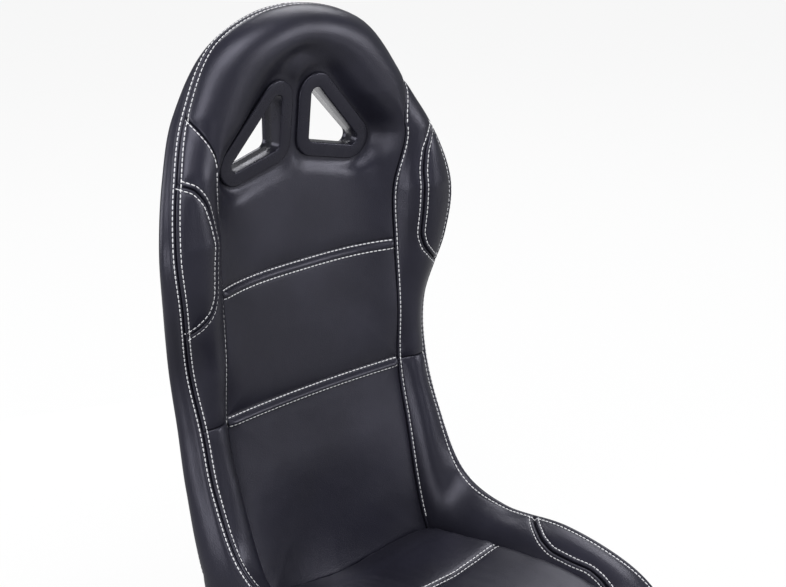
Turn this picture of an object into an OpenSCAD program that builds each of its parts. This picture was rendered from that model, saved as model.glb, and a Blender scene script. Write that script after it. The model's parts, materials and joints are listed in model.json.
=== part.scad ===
// Fixed-back racing seat on a sliding rail set.
// Frame of reference: +Z up, the sitter faces -Y, X runs across the seat.
// Origin: middle of the four floor bolt holes, on the floor.

/* [Seat shape] */
// Height of the crown seam above the floor
crown_z = 958; // [940:1:980]
// Half width at the edge seam, across the head
head_half = 122; // [116:1:128]
// Half width at the edge seam, across the shoulder wings
shoulder_half = 251; // [243:1:258]
// Half width at the edge seam, at the waist
waist_half = 212; // [207:1:218]
// Half width at the edge seam, at the thigh bolsters
thigh_half = 220; // [215:1:226]
// Half width of the centre panels, seam to seam
panel_half = 160; // [156:1:163]
// How far the shoulder wings swell forward of their chord
wing_swell = 25; // [18:1:28]
// How far the lower bolsters swell off their chord
bolster_swell = 12; // [8:1:15]

/* [Upholstery] */
// Thickness of the leather cover with its backing
cover_t = 3; // [2:0.5:4]
// Extra wadding under the middle of each sewn panel
puff = 4; // [2:0.5:5]
// Open width of a sewn seam valley
seam_gap = 0.5; // [0.4:0.1:0.9]
// Clearance between cover and moulded foam
foam_gap = 1; // [0.7:0.1:1]
// Foam thickness behind the centre panels
foam_centre = 11; // [8:1:11]
// Foam thickness in the bolsters
foam_bolster = 20; // [14:1:22]

/* [Seat cushion] */
// Half width of the loose cushion at its seams
cushion_half = 151; // [145:1:152]
// Height of the seat well floor the cushion lies on
well_z = 104; // [102:1:108]
// How much the cushion's sides stand above its middle
dish = 20; // [12:1:22]
// Place of the cross seam on the cushion
cross_seam_y = 58; // [20:1:90]

/* [Frame] */
// Outside diameter of the frame tube
tube_d = 22; // [18:1:22]
// Wall of the frame tube
tube_wall = 2; // [1.5:0.5:3]
// Centre line of each side tube, from the middle of the seat
tube_x = 178; // [176:1:180]
// Height of the base tubes' centre line
base_z = 72; // [70:1:73]
// Recline of the back frame from upright, degrees
recline = 5; // [4:0.5:5.5]
// Bend radius at the hip
hip_r = 80; // [60:5:90]
// Gap between a strap and the tube it hooks round
strap_seat = 0.2; // [0.1:0.1:0.4]
// Width of the elastic back and seat straps
strap_w = 40; // [30:5:50]
// Thickness of the straps
strap_t = 1.5; // [1:0.5:2]

/* [Harness bezels] */
// Tilt of the bezels, so that they face square to the head pad
bezel_tilt = 7; // [4:1:9]
// Depth of the harness slots, between the flanges
slot_depth = 32; // [31:1:36]
// Width of the bezel flange round its slot
flange_w = 21; // [16:1:22]
// Thickness of the bezel flange
flange_t = 4; // [3:0.5:5]
// Wall of the bezel collars
collar_t = 2.5; // [2:0.5:3]
// Corner radius of the harness slot
slot_r = 9; // [7:1:11]

/* [Slide rails] */
// Length of the floor rails
rail_len = 400; // [380:5:420]
// Length of the seat rails
upper_len = 350; // [330:5:360]
// Outside width of the floor rail
rail_w = 48; // [46:1:50]
// Sheet thickness of the rails
rail_t = 2.5; // [2:0.5:3]
// Height of the floor rail
rail_h = 22; // [21:1:24]
// Height of the seat rail's top face above the floor
upper_h = 36; // [34:1:38]
// Pitch of the adjuster notches
pitch = 15; // [12:1:16]
// Diameter of the bearing balls
ball_d = 5; // [4:0.5:6]
// Distance front to back between the floor bolts
floor_span = 290; // [260:5:320]
// Diameter of the floor bolt holes
floor_hole_d = 8.5; // [8:0.5:10]
// Distance front to back between the seat bolts
seat_span = 250; // [230:5:270]
// Nominal thread diameter of the seat bolts
bolt_d = 8; // [6:1:8]

/* [Hidden] */

// ---- Where the harness slots lie; the back of the head follows them ----
SLOT = [[36, 834], [105, 757], [36, 773]];   // centres of the slot's corner arcs [x, z], left side
BEZEL_AT = [36, 322, 773];                   // the back of the front flange lies on the head pad here
BEZEL_YAW = 3.5;                             // the slots spread towards the back
bezel_gap = 0.3;
cut_reach = 130;                             // slot cutters reach this far, in front and behind
head_rear_y = BEZEL_AT[1] + slot_depth;

// ---- Lines plan: one row per station, from the crown down the back and out to the thigh fronts ----
// Spine [y, z]: the middle of the seat's front surface.
SPINE = [[305, 885], [307, 868], [315, 830], [326, 760], [318, 680], [311, 600], [303, 500],
    [291, 413], [279, 330], [238, 135], [110, well_z], [-10, well_z], [-140, well_z],
    [-200, well_z - 2], [-228, well_z - 8]];
// Inner line [x, y, z]: crest of the head roll, then the inner seam, then the foot of the bolster.
INNER = [[0, 292, 920], [88, 289, 893], [150, 281, 825], [panel_half + 9, 274, 762],
    [panel_half, 289, 680], [panel_half, 287, 600], [panel_half + 1, 280, 500], [panel_half + 3, 283, 413],
    [panel_half + 3, 266, 330], [panel_half - 4, 206, 150], [panel_half - 5, 110, 160],
    [panel_half - 4, -10, 170], [panel_half - 5, -140, 168], [panel_half - 8, -205, 145],
    [panel_half - 14, -236, 104]];
// Edge seam [x, y, z].
RIM = [[0, 334, crown_z], [head_half, 331, crown_z - 32], [188, 315, 840], [230, 284, 762],
    [shoulder_half, 263, 680], [shoulder_half - 8, 265, 600], [waist_half + 9, 287, 500],
    [waist_half, 274, 413], [waist_half + 3, 248, 330], [thigh_half - 3, 196, 243],
    [thigh_half, 110, 213], [thigh_half + 2, -10, 222], [thigh_half, -130, 205], [thigh_half - 8, -204, 165],
    [thigh_half - 17, -238, 108]];
// Outer corner [x, y, z]: where the side turns under to the back or to the floor.
OUTER = [[0, 362, 949], [117, 351, 914], [187, 339, 836], [229, 312, 762], [254, 292, 680],
    [249, 298, 600], [233, 314, 500], [227, 309, 413], [231, 291, 330], [234, 257, 214],
    [230, 190, 84], [230, -10, 74], [225, -130, 76], [217, -200, 84], [206, -232, 92]];
// Rear middle [y, z].
REAR = [[370, 914], [368, 900], [head_rear_y, 832], [head_rear_y, 762], [370, 680], [372, 600],
    [365, 500], [356, 413], [346, 330], [331, 170], [290, 110], [280, 90], [270, 80], [260, 80], [250, 80]];
// Shape of the centre section at each station: 2 is a shallow trough, higher is a flat floor.
TROUGH = [2, 2, 6, 8, 4, 3, 2.5, 2, 2, 2, 30, 30, 30, 30, 30];
// Share of the rounded head roll in each station's section.
ROLL = [1, 1, 1, 0.2, 0, 0, 0, 0, 0, 0, 0, 0, 0, 0, 0];
// Swell of the bolster at each station.
SWELL = [0, 0, 0, wing_swell - 13, wing_swell, wing_swell - 9, bolster_swell - 2, bolster_swell - 2,
    bolster_swell + 1, bolster_swell + 2, bolster_swell, bolster_swell - 2, bolster_swell - 2,
    bolster_swell - 3, bolster_swell - 6];

ROLL_START = 0.3; // share of the head pad that stays flat before its roll rises
S_NECK = 2;      // the neck seam leaves the edge seam here
S_UPPER = 5;     // upper cross seam
S_WAIST = 7;     // lower cross seam and waist seam
S_HIP = 9;       // back meets seat
S_NOSE = 14;     // front of the bolsters
MID_PITCH = 88;  // mean distance between stations, for turning a seam gap into a share

// ---- Curve helpers ----
function unit(v) = v / max(norm(v), 1e-9);
function mirror_x(p) = [-p[0], p[1], p[2]];
function lerp(a, b, t) = a + (b - a) * t;
function pad3(row) = len(row) == 3 ? row : [0, row[0], row[1]];
// A row of a plan list; one row above the crown is the mirror of the one below it.
function plan_row(list, i) = i < 0 ? mirror_x(pad3(list[-i])) : pad3(list[min(i, len(list) - 1)]);
function spline(p0, p1, p2, p3, t) =
    0.5 * (2 * p1 + (p2 - p0) * t + (2 * p0 - 5 * p1 + 4 * p2 - p3) * t * t
        + (3 * p1 - p0 - 3 * p2 + p3) * t * t * t);
function plan(list, s) =
    let (i = min(floor(s), len(list) - 2), t = s - i)
    spline(plan_row(list, i - 1), plan_row(list, i), plan_row(list, i + 1), plan_row(list, i + 2), t);
function step(list, s) = let (i = min(floor(s), len(list) - 2)) lerp(list[i], list[i + 1], s - i);
// Straight-line lookup in a list of [s, value] pairs.
function pick(pairs, s) =
    s <= pairs[0][0] ? pairs[0][1] :
    s >= pairs[len(pairs) - 1][0] ? pairs[len(pairs) - 1][1] :
    let (i = max([for (k = [0:len(pairs) - 2]) if (pairs[k][0] <= s) k]))
    lerp(pairs[i][1], pairs[i + 1][1], (s - pairs[i][0]) / (pairs[i + 1][0] - pairs[i][0]));

// ---- Front surface: u = 0 spine, 1 inner line, 2 edge seam ----
function roll_section(a, b, c, u) = u <= 1
    ? let (q = max(u - ROLL_START, 0) / (1 - ROLL_START))
        [lerp(a[0], b[0], u), lerp(a[1], b[1], q * q * (3 - 2 * q)), lerp(a[2], b[2], u)]
    : let (q = (u - 1) * 90)
        [lerp(b[0], c[0], sin(q)), lerp(b[1], c[1], 1 - cos(q)), lerp(b[2], c[2], sin(q))];
function bolster_section(a, b, c, run, rise, trough, u) = u <= 1
    ? [lerp(a[0], b[0], u), lerp(a[1], b[1], pow(u, min(trough, 8))),
        lerp(a[2], b[2], trough > 9 ? pow(u, trough) : u)]
    : let (w = u - 1) lerp(b, c, w) + unit(cross(run, c - b)) * rise * pow(max(sin(180 * w), 0), 0.8);
function front_half(u, s) =
    let (a = plan(SPINE, s), b = plan(INNER, s), c = plan(RIM, s), h = step(ROLL, s),
        run = plan(RIM, min(s + 0.1, S_NOSE)) - plan(RIM, max(s - 0.1, 0)))
    lerp(bolster_section(a, b, c, run, step(SWELL, s), step(TROUGH, s), u),
        roll_section(a, b, c, u), h);
function front(u, s) = u < 0 ? mirror_x(front_half(-u, s)) : front_half(u, s);
// At the crown the sections close up like a fan, so the normal is taken just below it.
function front_normal(u, s) =
    let (v = abs(u), d = 0.02, w = max(s, 0.1),
        du = front(min(v + d, 2), w) - front(v - d, w),
        ds = front(v, min(w + d, S_NOSE)) - front(v, w - d),
        n = unit(cross(ds, du)))
    u < 0 ? mirror_x(n) : n;

// ---- Outer surface: v = 0 edge seam, 1 outer corner, 2 and 3 round to the rear middle ----
function outer_point(s, k) =
    let (r = plan(RIM, s), b = plan(OUTER, s), c = plan(REAR, s))
    k < 0 ? 2 * r - b : k == 0 ? r : k == 1 ? b :
    k == 2 ? [0.6 * b[0], lerp(c[1], b[1], 0.12), lerp(c[2], b[2], 0.36)] :
    k == 3 ? c : mirror_x(outer_point(s, 2));
function outer(v, s) =
    let (i = min(floor(v), 2), t = v - i)
    spline(outer_point(s, i - 1), outer_point(s, i), outer_point(s, i + 1), outer_point(s, i + 2), t);
function outer_normal(v, s) =
    let (d = 0.02, dv = outer(min(v + d, 3), s) - outer(max(v - d, 0), s),
        ds = outer(v, min(s + d, S_NOSE)) - outer(v, max(s - d, 0)))
    unit(cross(ds, dv));

// ---- A closed pad between two grids of points ----
// fan = true joins the first row to its own mirror image, as at the crown.
module quilt(face, back, fan = false) {
    m = len(face); n = len(face[0]);
    function id(i, j) = fan && i == 0 && 2 * j < n - 1 ? n - 1 - j : i * n + j;
    function quad(a, b, c, d) = [[a, b, c], [a, c, d]];
    B = m * n;
    skin = [for (i = [0:m - 2], j = [0:n - 2])
        each quad(id(i, j), id(i, j + 1), id(i + 1, j + 1), id(i + 1, j))];
    lining = [for (i = [0:m - 2], j = [0:n - 2])
        each quad(B + id(i, j), B + id(i + 1, j), B + id(i + 1, j + 1), B + id(i, j + 1))];
    sides = [for (i = [0:m - 2]) each concat(
        quad(id(i, 0), id(i + 1, 0), B + id(i + 1, 0), B + id(i, 0)),
        quad(id(i, n - 1), B + id(i, n - 1), B + id(i + 1, n - 1), id(i + 1, n - 1)))];
    foot = [for (j = [0:n - 2])
        each quad(id(m - 1, j), id(m - 1, j + 1), B + id(m - 1, j + 1), B + id(m - 1, j))];
    head = fan ? [] : [for (j = [0:n - 2])
        each quad(id(0, j), B + id(0, j), B + id(0, j + 1), id(0, j + 1))];
    polyhedron(points = concat([for (r = face) each r], [for (r = back) each r]),
        faces = concat(skin, lining, sides, foot, head));
}

function swell(a, b) = puff * (1 - pow(abs(2 * a - 1), 6)) * (1 - pow(abs(2 * b - 1), 8));
function span(list) = let (a = list[0], b = list[len(list) - 1]) [for (x = list) (x - a) / (b - a)];

// Sewn front panel: rows are stations, cols run 0..1 between ua(row) and ub(row).
function panel_u(ua, ub, i, c) = lerp(ua[i], ub[i], c);
module front_panel(rows, ua, ub, cols, fan = false) {
    b = span(rows);
    quilt([for (i = [0:len(rows) - 1]) [for (c = cols) let (u = panel_u(ua, ub, i, c))
            front(u, rows[i]) + front_normal(u, rows[i]) * swell(c, fan ? 0.5 + b[i] / 2 : b[i])]],
        [for (i = [0:len(rows) - 1]) [for (c = cols) let (u = panel_u(ua, ub, i, c))
            front(u, rows[i]) - front_normal(u, rows[i]) * cover_t]], fan);
}
module outer_panel(rows, va, vb, cols) {
    quilt([for (s = rows) [for (c = cols) let (v = lerp(va, vb, c)) outer(v, s)]],
        [for (s = rows) [for (c = cols) let (v = lerp(va, vb, c))
            outer(v, s) - outer_normal(v, s) * cover_t]]);
}

gap_u = seam_gap / 2 / MID_PITCH;
gap_s = seam_gap / 2 / MID_PITCH;

// Neck seam, shoulder patch seam and thigh patch seam as [station, u].
NECK = [[2, 2], [2.11, 1.66], [2.24, 1.39], [2.4, 1.2], [2.6, 1.07], [2.85, 1]];
WING_PATCH = [[2.98, 2], [3.15, 1.6], [3.45, 1.41], [3.7, 1.39], [4, 1.41], [4.4, 1.42], [4.85, 1.41],
    [5.07, 1.48], [5.27, 1.7], [5.45, 2]];
THIGH_PATCH = [[10.48, 2], [10.56, 1.87], [10.72, 1.68], [10.9, 1.51], [11.1, 1.42], [11.35, 1.41],
    [11.55, 1.43], [11.72, 1.39], [11.9, 1.3], [12.1, 1.22], [12.5, 1.17], [S_NOSE, 1.15]];

HEAD_ROWS = [0, 0.4, 0.8, 1.2, 1.6, 1.85, 2, 2.11, 2.24, 2.4, 2.6, 2.85, 3.2, 3.6, 4, 4.5, 4.9,
    S_UPPER - gap_s];
MID_ROWS = [S_UPPER + gap_s, 5.1, 5.5, 6, 6.5, 6.9, S_WAIST - gap_s];
LUMBAR_ROWS = [S_WAIST + gap_s, 7.1, 7.5, 8, 8.5, 8.85, S_HIP - gap_s];
CENTRE_COLS = [0, 0.04, 0.12, 0.25, 0.38, 0.5, 0.62, 0.75, 0.88, 0.96, 1];
HEAD_COLS = [0, 0.04, 0.1, 0.15, 0.2, 0.25, 0.3, 0.36, 0.43, 0.5, 0.57, 0.64, 0.7, 0.75, 0.8, 0.85,
    0.9, 0.96, 1];
BOLSTER_COLS = [0, 0.08, 0.25, 0.45, 0.65, 0.85, 1];
PATCH_COLS = [0, 0.15, 0.5, 0.85, 1];

module centre_panel(rows) {
    e = [for (s = rows) 1 - gap_u];
    front_panel(rows, -e, e, CENTRE_COLS);
}
module head_panel() color("#2b2a30") difference() {
    e = [for (s = HEAD_ROWS) pick(NECK, s) - gap_u];
    front_panel(HEAD_ROWS, -e, e, HEAD_COLS, fan = true);
    both_sides() slot_prism(slot_r + collar_t + bezel_gap, -cut_reach, cut_reach);
    both_sides() bezel_frame(bezel_tilt) prism(slot_r + flange_w + seam_gap, -0.2, cut_reach);
}
module mid_panel() color("#2b2a30") centre_panel(MID_ROWS);
module lumbar_panel() color("#2b2a30") centre_panel(LUMBAR_ROWS);

SHOULDER_ROWS = [2.05, 2.24, 2.4, 2.6, 2.85, 2.98, 3.15, 3.45, 3.7, 4, 4.4, 4.85, 5.07, 5.27, 5.45,
    5.8, 6.3, 6.75, S_WAIST - gap_s];
module shoulder_panel() color("#26252b")
    front_panel(SHOULDER_ROWS, [for (s = SHOULDER_ROWS) pick(NECK, s) + gap_u],
        [for (s = SHOULDER_ROWS) pick(WING_PATCH, s) - gap_u], BOLSTER_COLS);
WING_ROWS = [3.03, 3.15, 3.45, 3.7, 4, 4.4, 4.85, 5.07, 5.27, 5.42];
module shoulder_patch() color("#322f36")
    front_panel(WING_ROWS, [for (s = WING_ROWS) pick(WING_PATCH, s) + gap_u],
        [for (s = WING_ROWS) 2 - gap_u], PATCH_COLS);
BOLSTER_ROWS = [S_WAIST + gap_s, 7.25, 7.6, 8, 8.4, 8.7, 9, 9.3, 9.6, 10, 10.48, 10.56,
    10.72, 10.9, 11.1, 11.35, 11.72, 12.1, 12.5, 13, 13.5, S_NOSE];
module bolster_panel() color("#26252b")
    front_panel(BOLSTER_ROWS, [for (s = BOLSTER_ROWS) 1 + gap_u],
        [for (s = BOLSTER_ROWS) pick(THIGH_PATCH, s) - gap_u], BOLSTER_COLS);
THIGH_ROWS = [10.52, 10.56, 10.72, 10.9, 11.1, 11.35, 11.72, 12.1, 12.5, 13, 13.5, S_NOSE];
module thigh_patch() color("#322f36")
    front_panel(THIGH_ROWS, [for (s = THIGH_ROWS) pick(THIGH_PATCH, s) + gap_u],
        [for (s = THIGH_ROWS) 2 - gap_u], PATCH_COLS);

SIDE_ROWS = [0.01, 0.5, 1, 1.5, 2, 2.5, 3, 3.5, 4, 4.5, 5, 5.5, 6, 6.5, 7, 7.5, 8, 8.5, 9, 9.4, 9.7,
    10, 10.5, 11, 11.5, 12, 12.5, 13, 13.5, S_NOSE];
module side_panel() color("#322f36")
    outer_panel(SIDE_ROWS, (cover_t + seam_gap) / 45, 1, [0, 0.3, 0.65, 1]);
module rear_half() color("#26252b")
    outer_panel([for (s = SIDE_ROWS) if (s <= S_HIP) s], 1.01, 3, [0, 0.15, 0.35, 0.55, 0.8, 1]);
module rear_cover() color("#26252b") difference() {
    union() { rear_half(); mirror([1, 0, 0]) rear_half(); }
    both_sides() slot_prism(collar_r + bezel_gap, -cut_reach, 0);
    both_sides() slot_prism(slot_r + flange_w - 5, -cut_reach, -slot_depth + 0.2);
}

// ---- Moulded foam under the cover ----
FOAM_EDGE = 1.92;   // the pad stops short of the edge seam
BACK_COLS = [0.24, 0.45, 0.62, 0.76, 0.86, 0.93, 1, 1.08, 1.25, 1.45, 1.65, 1.85, FOAM_EDGE];
SEAT_COLS = [0.5, 0.9, 0.95, 0.98, 1, 1.08, 1.25, 1.45, 1.65, 1.85, FOAM_EDGE];
FOAM_BACK_ROWS = [0, 0.4, 0.8, 1.2, 1.6, 2, 2.24, 2.6, 2.85, 3.2, 3.6, 4, 4.5, 5, 5.45, 5.8, 6.3, 6.75,
    7.1, 7.6, 8, 8.4, 8.7, 8.85, S_HIP - gap_s];
FOAM_SEAT_ROWS = [S_HIP + 0.08, 9.3, 9.6, 10, 10.48, 10.9, 11.35, 11.72, 12.1, 12.5, 13, 13.5,
    S_NOSE - 0.08];
foam_skin = cover_t + foam_gap;
head_slack = 2.9;     // the cover lies this much looser over the doubly curved head
bolster_slack = 1.1;  // and this much looser over the bolsters
pad_clear = 0.3;      // between the pad and the straps, and between the pad and the tubes
pad_back = tube_d / 2 + strap_seat - pad_clear;   // the pad reaches this far behind the side tubes
foam_floor = base_z + tube_d / 2 + strap_seat + strap_t + pad_clear;
// The back pad fills the space to the straps in the middle, and tapers towards the edge seam.
function centre_depth(s) = let (p = plan(SPINE, s))
    s < 3 ? foam_centre : min(max(tube_y(p[2]) + pad_back - p[1] - foam_skin, foam_centre), 30);
function bolster_depth(u) = lerp(foam_bolster, foam_centre, max(u - 1.2, 0) / 0.8);
function foam_depth(u, s) = u < 0.85 ? centre_depth(s) :
    lerp(centre_depth(s), bolster_depth(u), min((u - 0.85) / 0.3, 1));
function inset(u, s, depth) = front(u, s) - front_normal(u, s) * depth;
function foam_face(u, s) = inset(u, s, foam_skin + (s < 3 ? head_slack : abs(u) > 1 ? bolster_slack : 0));
// The bolsters' foam also stays in front of the side tubes.
function back_pad(u, s) = let (p = inset(u, s, foam_skin + foam_depth(abs(u), s)))
    abs(p[0]) < frame_x(p[2]) - 1.5 * tube_d || s < 2.5 ? p :
    let (hook = abs(p[0]) < tube_x - tube_d ? 0 : strap_seat + strap_t + pad_clear,
        d = p[2] > TUBE_TOP + pad_clear ? loop_d : tube_d)
    [p[0], min(p[1], tube_y(p[2]) - d / 2 - pad_clear - hook), p[2]];
// Distance of the frame's tube from the middle at a height: the head loop leans in above the side tubes.
function frame_x(z) = lerp(tube_x, loop_half, max(z - TUBE_TOP - loop_plug, 0) / (loop_rise - loop_plug));
function both_ways(cols) = concat([for (i = [len(cols) - 1:-1:0]) -cols[i]], [0], cols);
module back_foam() color("#4a4a48") difference() {
    cols = both_ways(BACK_COLS);
    quilt([for (s = FOAM_BACK_ROWS) [for (u = cols) foam_face(u, s)]],
        [for (s = FOAM_BACK_ROWS) [for (u = cols) back_pad(u, s)]], true);
    both_sides() slot_prism(collar_r + bezel_gap, -cut_reach, cut_reach);
    both_sides() bezel_frame(bezel_tilt) prism(slot_r + flange_w + seam_gap, -0.5, cut_reach);
}
WELL_EDGE = 0.9;      // the well's floor is level as far as this
function well_top(u, s) = let (p = foam_face(u, s))
    abs(u) <= WELL_EDGE ? [p[0], p[1], foam_face(0, s)[2]] : p;
// The seat pad is flat underneath, where it rests on the straps.
module seat_foam() color("#4a4a48") {
    cols = both_ways(SEAT_COLS);
    quilt([for (s = FOAM_SEAT_ROWS) [for (u = cols) well_top(u, s)]],
        [for (s = FOAM_SEAT_ROWS) [for (u = cols) let (p = inset(u, s, foam_skin + bolster_depth(abs(u))))
            abs(u) < WELL_EDGE ? [well_top(u, s)[0], well_top(u, s)[1], foam_floor]
                : [p[0], p[1], max(p[2], foam_floor)]]]);
}

// ---- Front apron: closes the fronts of the bolsters and of the seat pad ----
APRON_COLS = [0.4, 0.75, 0.9, 1, 1.12, 1.3, 1.5, 1.7, 1.85, 1.97];
APRON_ROWS = [0, 0.15, 0.35, 0.6, 0.8, 1];
apron_bulge = 5;
apron_foot = foam_floor - 1;      // the middle of its lower edge
apron_rise = 8;                   // its ends stand this much higher
function apron_top(u) =
    let (p = front(u, S_NOSE))
    p + unit(p - front(u, S_NOSE - 0.05)) * seam_gap;
function apron_low(u) =
    let (p = front(u, S_NOSE), w = min(abs(u), 1))
    [p[0], p[1] + lerp(-1, 4.5, w * w * w), apron_foot + apron_rise * pow(max(abs(u) - 1, 0), 2)];
function apron(u, t) = lerp(apron_top(u), apron_low(u), t) - [0, apron_bulge * sin(180 * t), 0];
module front_apron() color("#2b2a30") {
    cols = both_ways(APRON_COLS);
    quilt([for (t = APRON_ROWS) [for (u = cols) apron(u, t)]],
        [for (t = APRON_ROWS) [for (u = cols)
            apron(u, t) + lerp(-front_normal(u, S_NOSE), [0, 1, 0], t) * cover_t]]);
}

// ---- Loose seat cushion ----
// Stations [y, half width, lift of the underside, top at the middle], from the back to the rolled front.
CUSHION = [[229, cushion_half * 0.4, 35, 139], [223, cushion_half * 0.66, 31, 142],
    [213, cushion_half * 0.86, 26, 146], [202, cushion_half * 0.967, 19, 150],
    [185, cushion_half * 0.993, 12, 155], [145, cushion_half, 5, 162], [105, cushion_half, 1, 169],
    [cross_seam_y + 14, cushion_half, 0, 175],
    [cross_seam_y, cushion_half * 0.993, 0, 171], [cross_seam_y - 14, cushion_half, 0, 177],
    [0, cushion_half, 0, 183], [-50, cushion_half, 0, 187],
    [-110, cushion_half, 0, 185], [-165, cushion_half * 0.987, 0, 179], [-205, cushion_half * 0.96, 0, 166],
    [-232, cushion_half * 0.92, 6, 147], [-246, cushion_half * 0.828, 16, 132]];
cushion_base = well_z - foam_skin + 0.3;
// Section of half the cushion [x, z], from the middle of the top round to the middle of the underside.
function cushion_section(w, low, top) =
    let (side = top + dish * w / cushion_half, seam = lerp(low, side, 0.72))
    [[0, top], [0.35 * w, lerp(top, side, 0.1)], [0.65 * w, lerp(top, side, 0.42)],
        [0.86 * w, lerp(top, side, 0.85)], [0.95 * w, side - 1], [0.985 * w, side - 5], [w, seam],
        [0.965 * w, lerp(low, seam, 0.4)], [0.9 * w, low + 2], [0.82 * w, low], [0, low]];
module seat_cushion() color("#2b2a30") {
    rings = [for (c = CUSHION) let (h = cushion_section(c[1], cushion_base + c[2], c[3]), n = len(h))
        concat([for (p = h) [p[0], c[0], p[1]]], [for (i = [n - 2:-1:1]) [-h[i][0], c[0], h[i][1]]])];
    ring = len(rings[0]); last = len(rings) - 1;
    polyhedron(points = concat([for (r = rings) each r]),
        faces = concat(
            [for (i = [0:last - 1], j = [0:ring - 1]) let (k = (j + 1) % ring, a = i * ring)
                each [[a + j, a + k, a + ring + k], [a + j, a + ring + k, a + ring + j]]],
            [for (j = [1:ring - 2]) [0, j + 1, j]],
            [for (j = [1:ring - 2]) [last * ring, last * ring + j, last * ring + j + 1]]));
}

// ---- Bezels: a flanged collar from the front, lapped by one from the back ----
// A convex rounded outline: arcs of radius r about the corner centres.
module rounded(centres, r) {
    n = len(centres);
    polygon([for (i = [0:n - 1])
        let (a = centres[i], b = centres[(i + 1) % n], d = unit(b - a), m = [-d[1], d[0]])
        each [a + m * r, b + m * r]]);
    for (c = centres) translate(c) circle(r, $fn = 48);
}
// Local frame: x across, y up the slot, z out of the slot towards the sitter.
module bezel_frame(tilt = 0)
    translate(BEZEL_AT) rotate([90 + tilt, 0, -BEZEL_YAW])
        translate([-BEZEL_AT[0], -BEZEL_AT[2], 0]) children();
module prism(r, z0, z1) translate([0, 0, z0]) linear_extrude(z1 - z0) rounded(SLOT, r);
module slot_prism(r, z0, z1) bezel_frame() prism(r, z0, z1);
module both_sides() { children(); mirror([1, 0, 0]) children(); }

collar_r = slot_r + 2 * collar_t + bezel_gap;   // outside of the rear collar, which laps over the front one
rear_collar_r = slot_r + collar_t + bezel_gap;
front_reach = slot_depth - 8;    // how far the front collar reaches into the seat
module ring(r, wall, z0, z1) difference() { prism(r + wall, z0, z1); prism(r, z0 - 1, z1 + 1); }
// The flange leans with the head pad; the collar runs straight back.
module bezel_front() color("#3a3a3e") {
    difference() {
        bezel_frame(bezel_tilt) {
            prism(slot_r + flange_w, 0, flange_t - 1.6);
            prism(slot_r + flange_w - 2, flange_t - 1.7, flange_t);
        }
        slot_prism(slot_r, -slot_depth, slot_depth);
    }
    difference() {
        bezel_frame() ring(slot_r, collar_t, -front_reach, 12);
        bezel_frame(bezel_tilt) prism(slot_r + flange_w, 1, slot_depth);
    }
}
module bezel_rear() color("#3a3a3e") bezel_frame() {
    ring(rear_collar_r, collar_t, -slot_depth, -collar_start);
    ring(rear_collar_r, flange_w - 8, -slot_depth - rear_flange_t, -slot_depth);
}
collar_start = 14;    // the rear collar starts this deep
rear_flange_t = 3;

// ---- Tube frame ----
BACK_Y = 294;         // the side tubes cross this line
BACK_Z = 330;         // at this height
shoulder_drop = 40;   // the side tubes end this far below the wings' widest point
TUBE_TOP = RIM[4][2] - shoulder_drop;
function tube_y(z) = BACK_Y + (z - BACK_Z) * tan(recline);
front_bar_y = -195;
rear_bar_y = 205;

bend_lap = 1;         // straight runs reach this far into their bends
bend_slip = 0.04;     // and lie this far inside them all round
// A tube along a flat path with round bends.
module bent(path, r, d) {
    n = len(path);
    dirs = [for (i = [0:n - 2]) unit(path[i + 1] - path[i])];
    turns = [for (i = [0:n - 1]) i == 0 || i == n - 1 ? 0 :
        let (a = dirs[i - 1], b = dirs[i]) atan2(a[0] * b[1] - a[1] * b[0], a * b)];
    cuts = [for (t = turns) r * tan(abs(t) / 2)];
    for (i = [0:n - 2]) {
        lead = i == 0 ? 0 : bend_lap;
        tail = i == n - 2 ? 0 : bend_lap;
        run = norm(path[i + 1] - path[i]) - cuts[i] - cuts[i + 1];
        a = path[i] + dirs[i] * (cuts[i] - lead);
        translate([a[0], a[1], 0]) rotate([0, 90, atan2(dirs[i][1], dirs[i][0])])
            cylinder(h = lead + run + tail, d = d - 2 * bend_slip, $fn = 48);
    }
    for (i = [1:1:n - 2]) {
        left = turns[i] > 0 ? 1 : -1;
        a = path[i] - dirs[i - 1] * cuts[i];
        normal = [-dirs[i - 1][1], dirs[i - 1][0]] * left;
        start = atan2(-normal[1], -normal[0]);
        translate([a[0] + normal[0] * r, a[1] + normal[1] * r, 0])
            rotate([0, 0, left > 0 ? start : start + turns[i]])
                rotate_extrude(angle = abs(turns[i]), $fn = 64) translate([r, 0]) circle(d = d, $fn = 48);
    }
}
module side_tube(d) translate([tube_x, 0, 0]) rotate([90, 0, 90])
    bent([[front_bar_y - tube_d / 2, base_z], [tube_y(base_z), base_z], [tube_y(TUBE_TOP), TUBE_TOP]],
        hip_r, d);
cross_d = tube_d - 2; // the cross tubes are a size smaller
module cross_tube(y, d) translate([-tube_x, y, base_z]) rotate([0, 90, 0])
    cylinder(h = 2 * tube_x, d = d, $fn = 48);
module tubes(wall) {
    both_sides() side_tube(tube_d - 2 * wall);
    for (y = [front_bar_y, rear_bar_y]) cross_tube(y, cross_d - 2 * wall);
}
foot_len = 40;
foot_t = 4;
foot_wall = 3;
foot_half = tube_d / 2 + 0.5;
module foot(y) translate([tube_x, y, 0]) {
    translate([-foot_half, -foot_len / 2, upper_h]) cube([2 * foot_half, foot_len, foot_t]);
    for (x = [-foot_half, foot_half - foot_wall]) translate([x, -foot_len / 2, upper_h])
        cube([foot_wall, foot_len, base_z - upper_h]);
}
module frame() color("#202022") difference() {
    union() {
        tubes(0);
        both_sides() for (y = [-1, 1] * seat_span / 2) foot(y);
    }
    tubes(tube_wall);
    both_sides() for (y = [-1, 1] * seat_span / 2)
        translate([tube_x, y, upper_h - 1]) cylinder(h = foot_t + 2, d = bolt_d + 0.5, $fn = 32);
}

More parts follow.
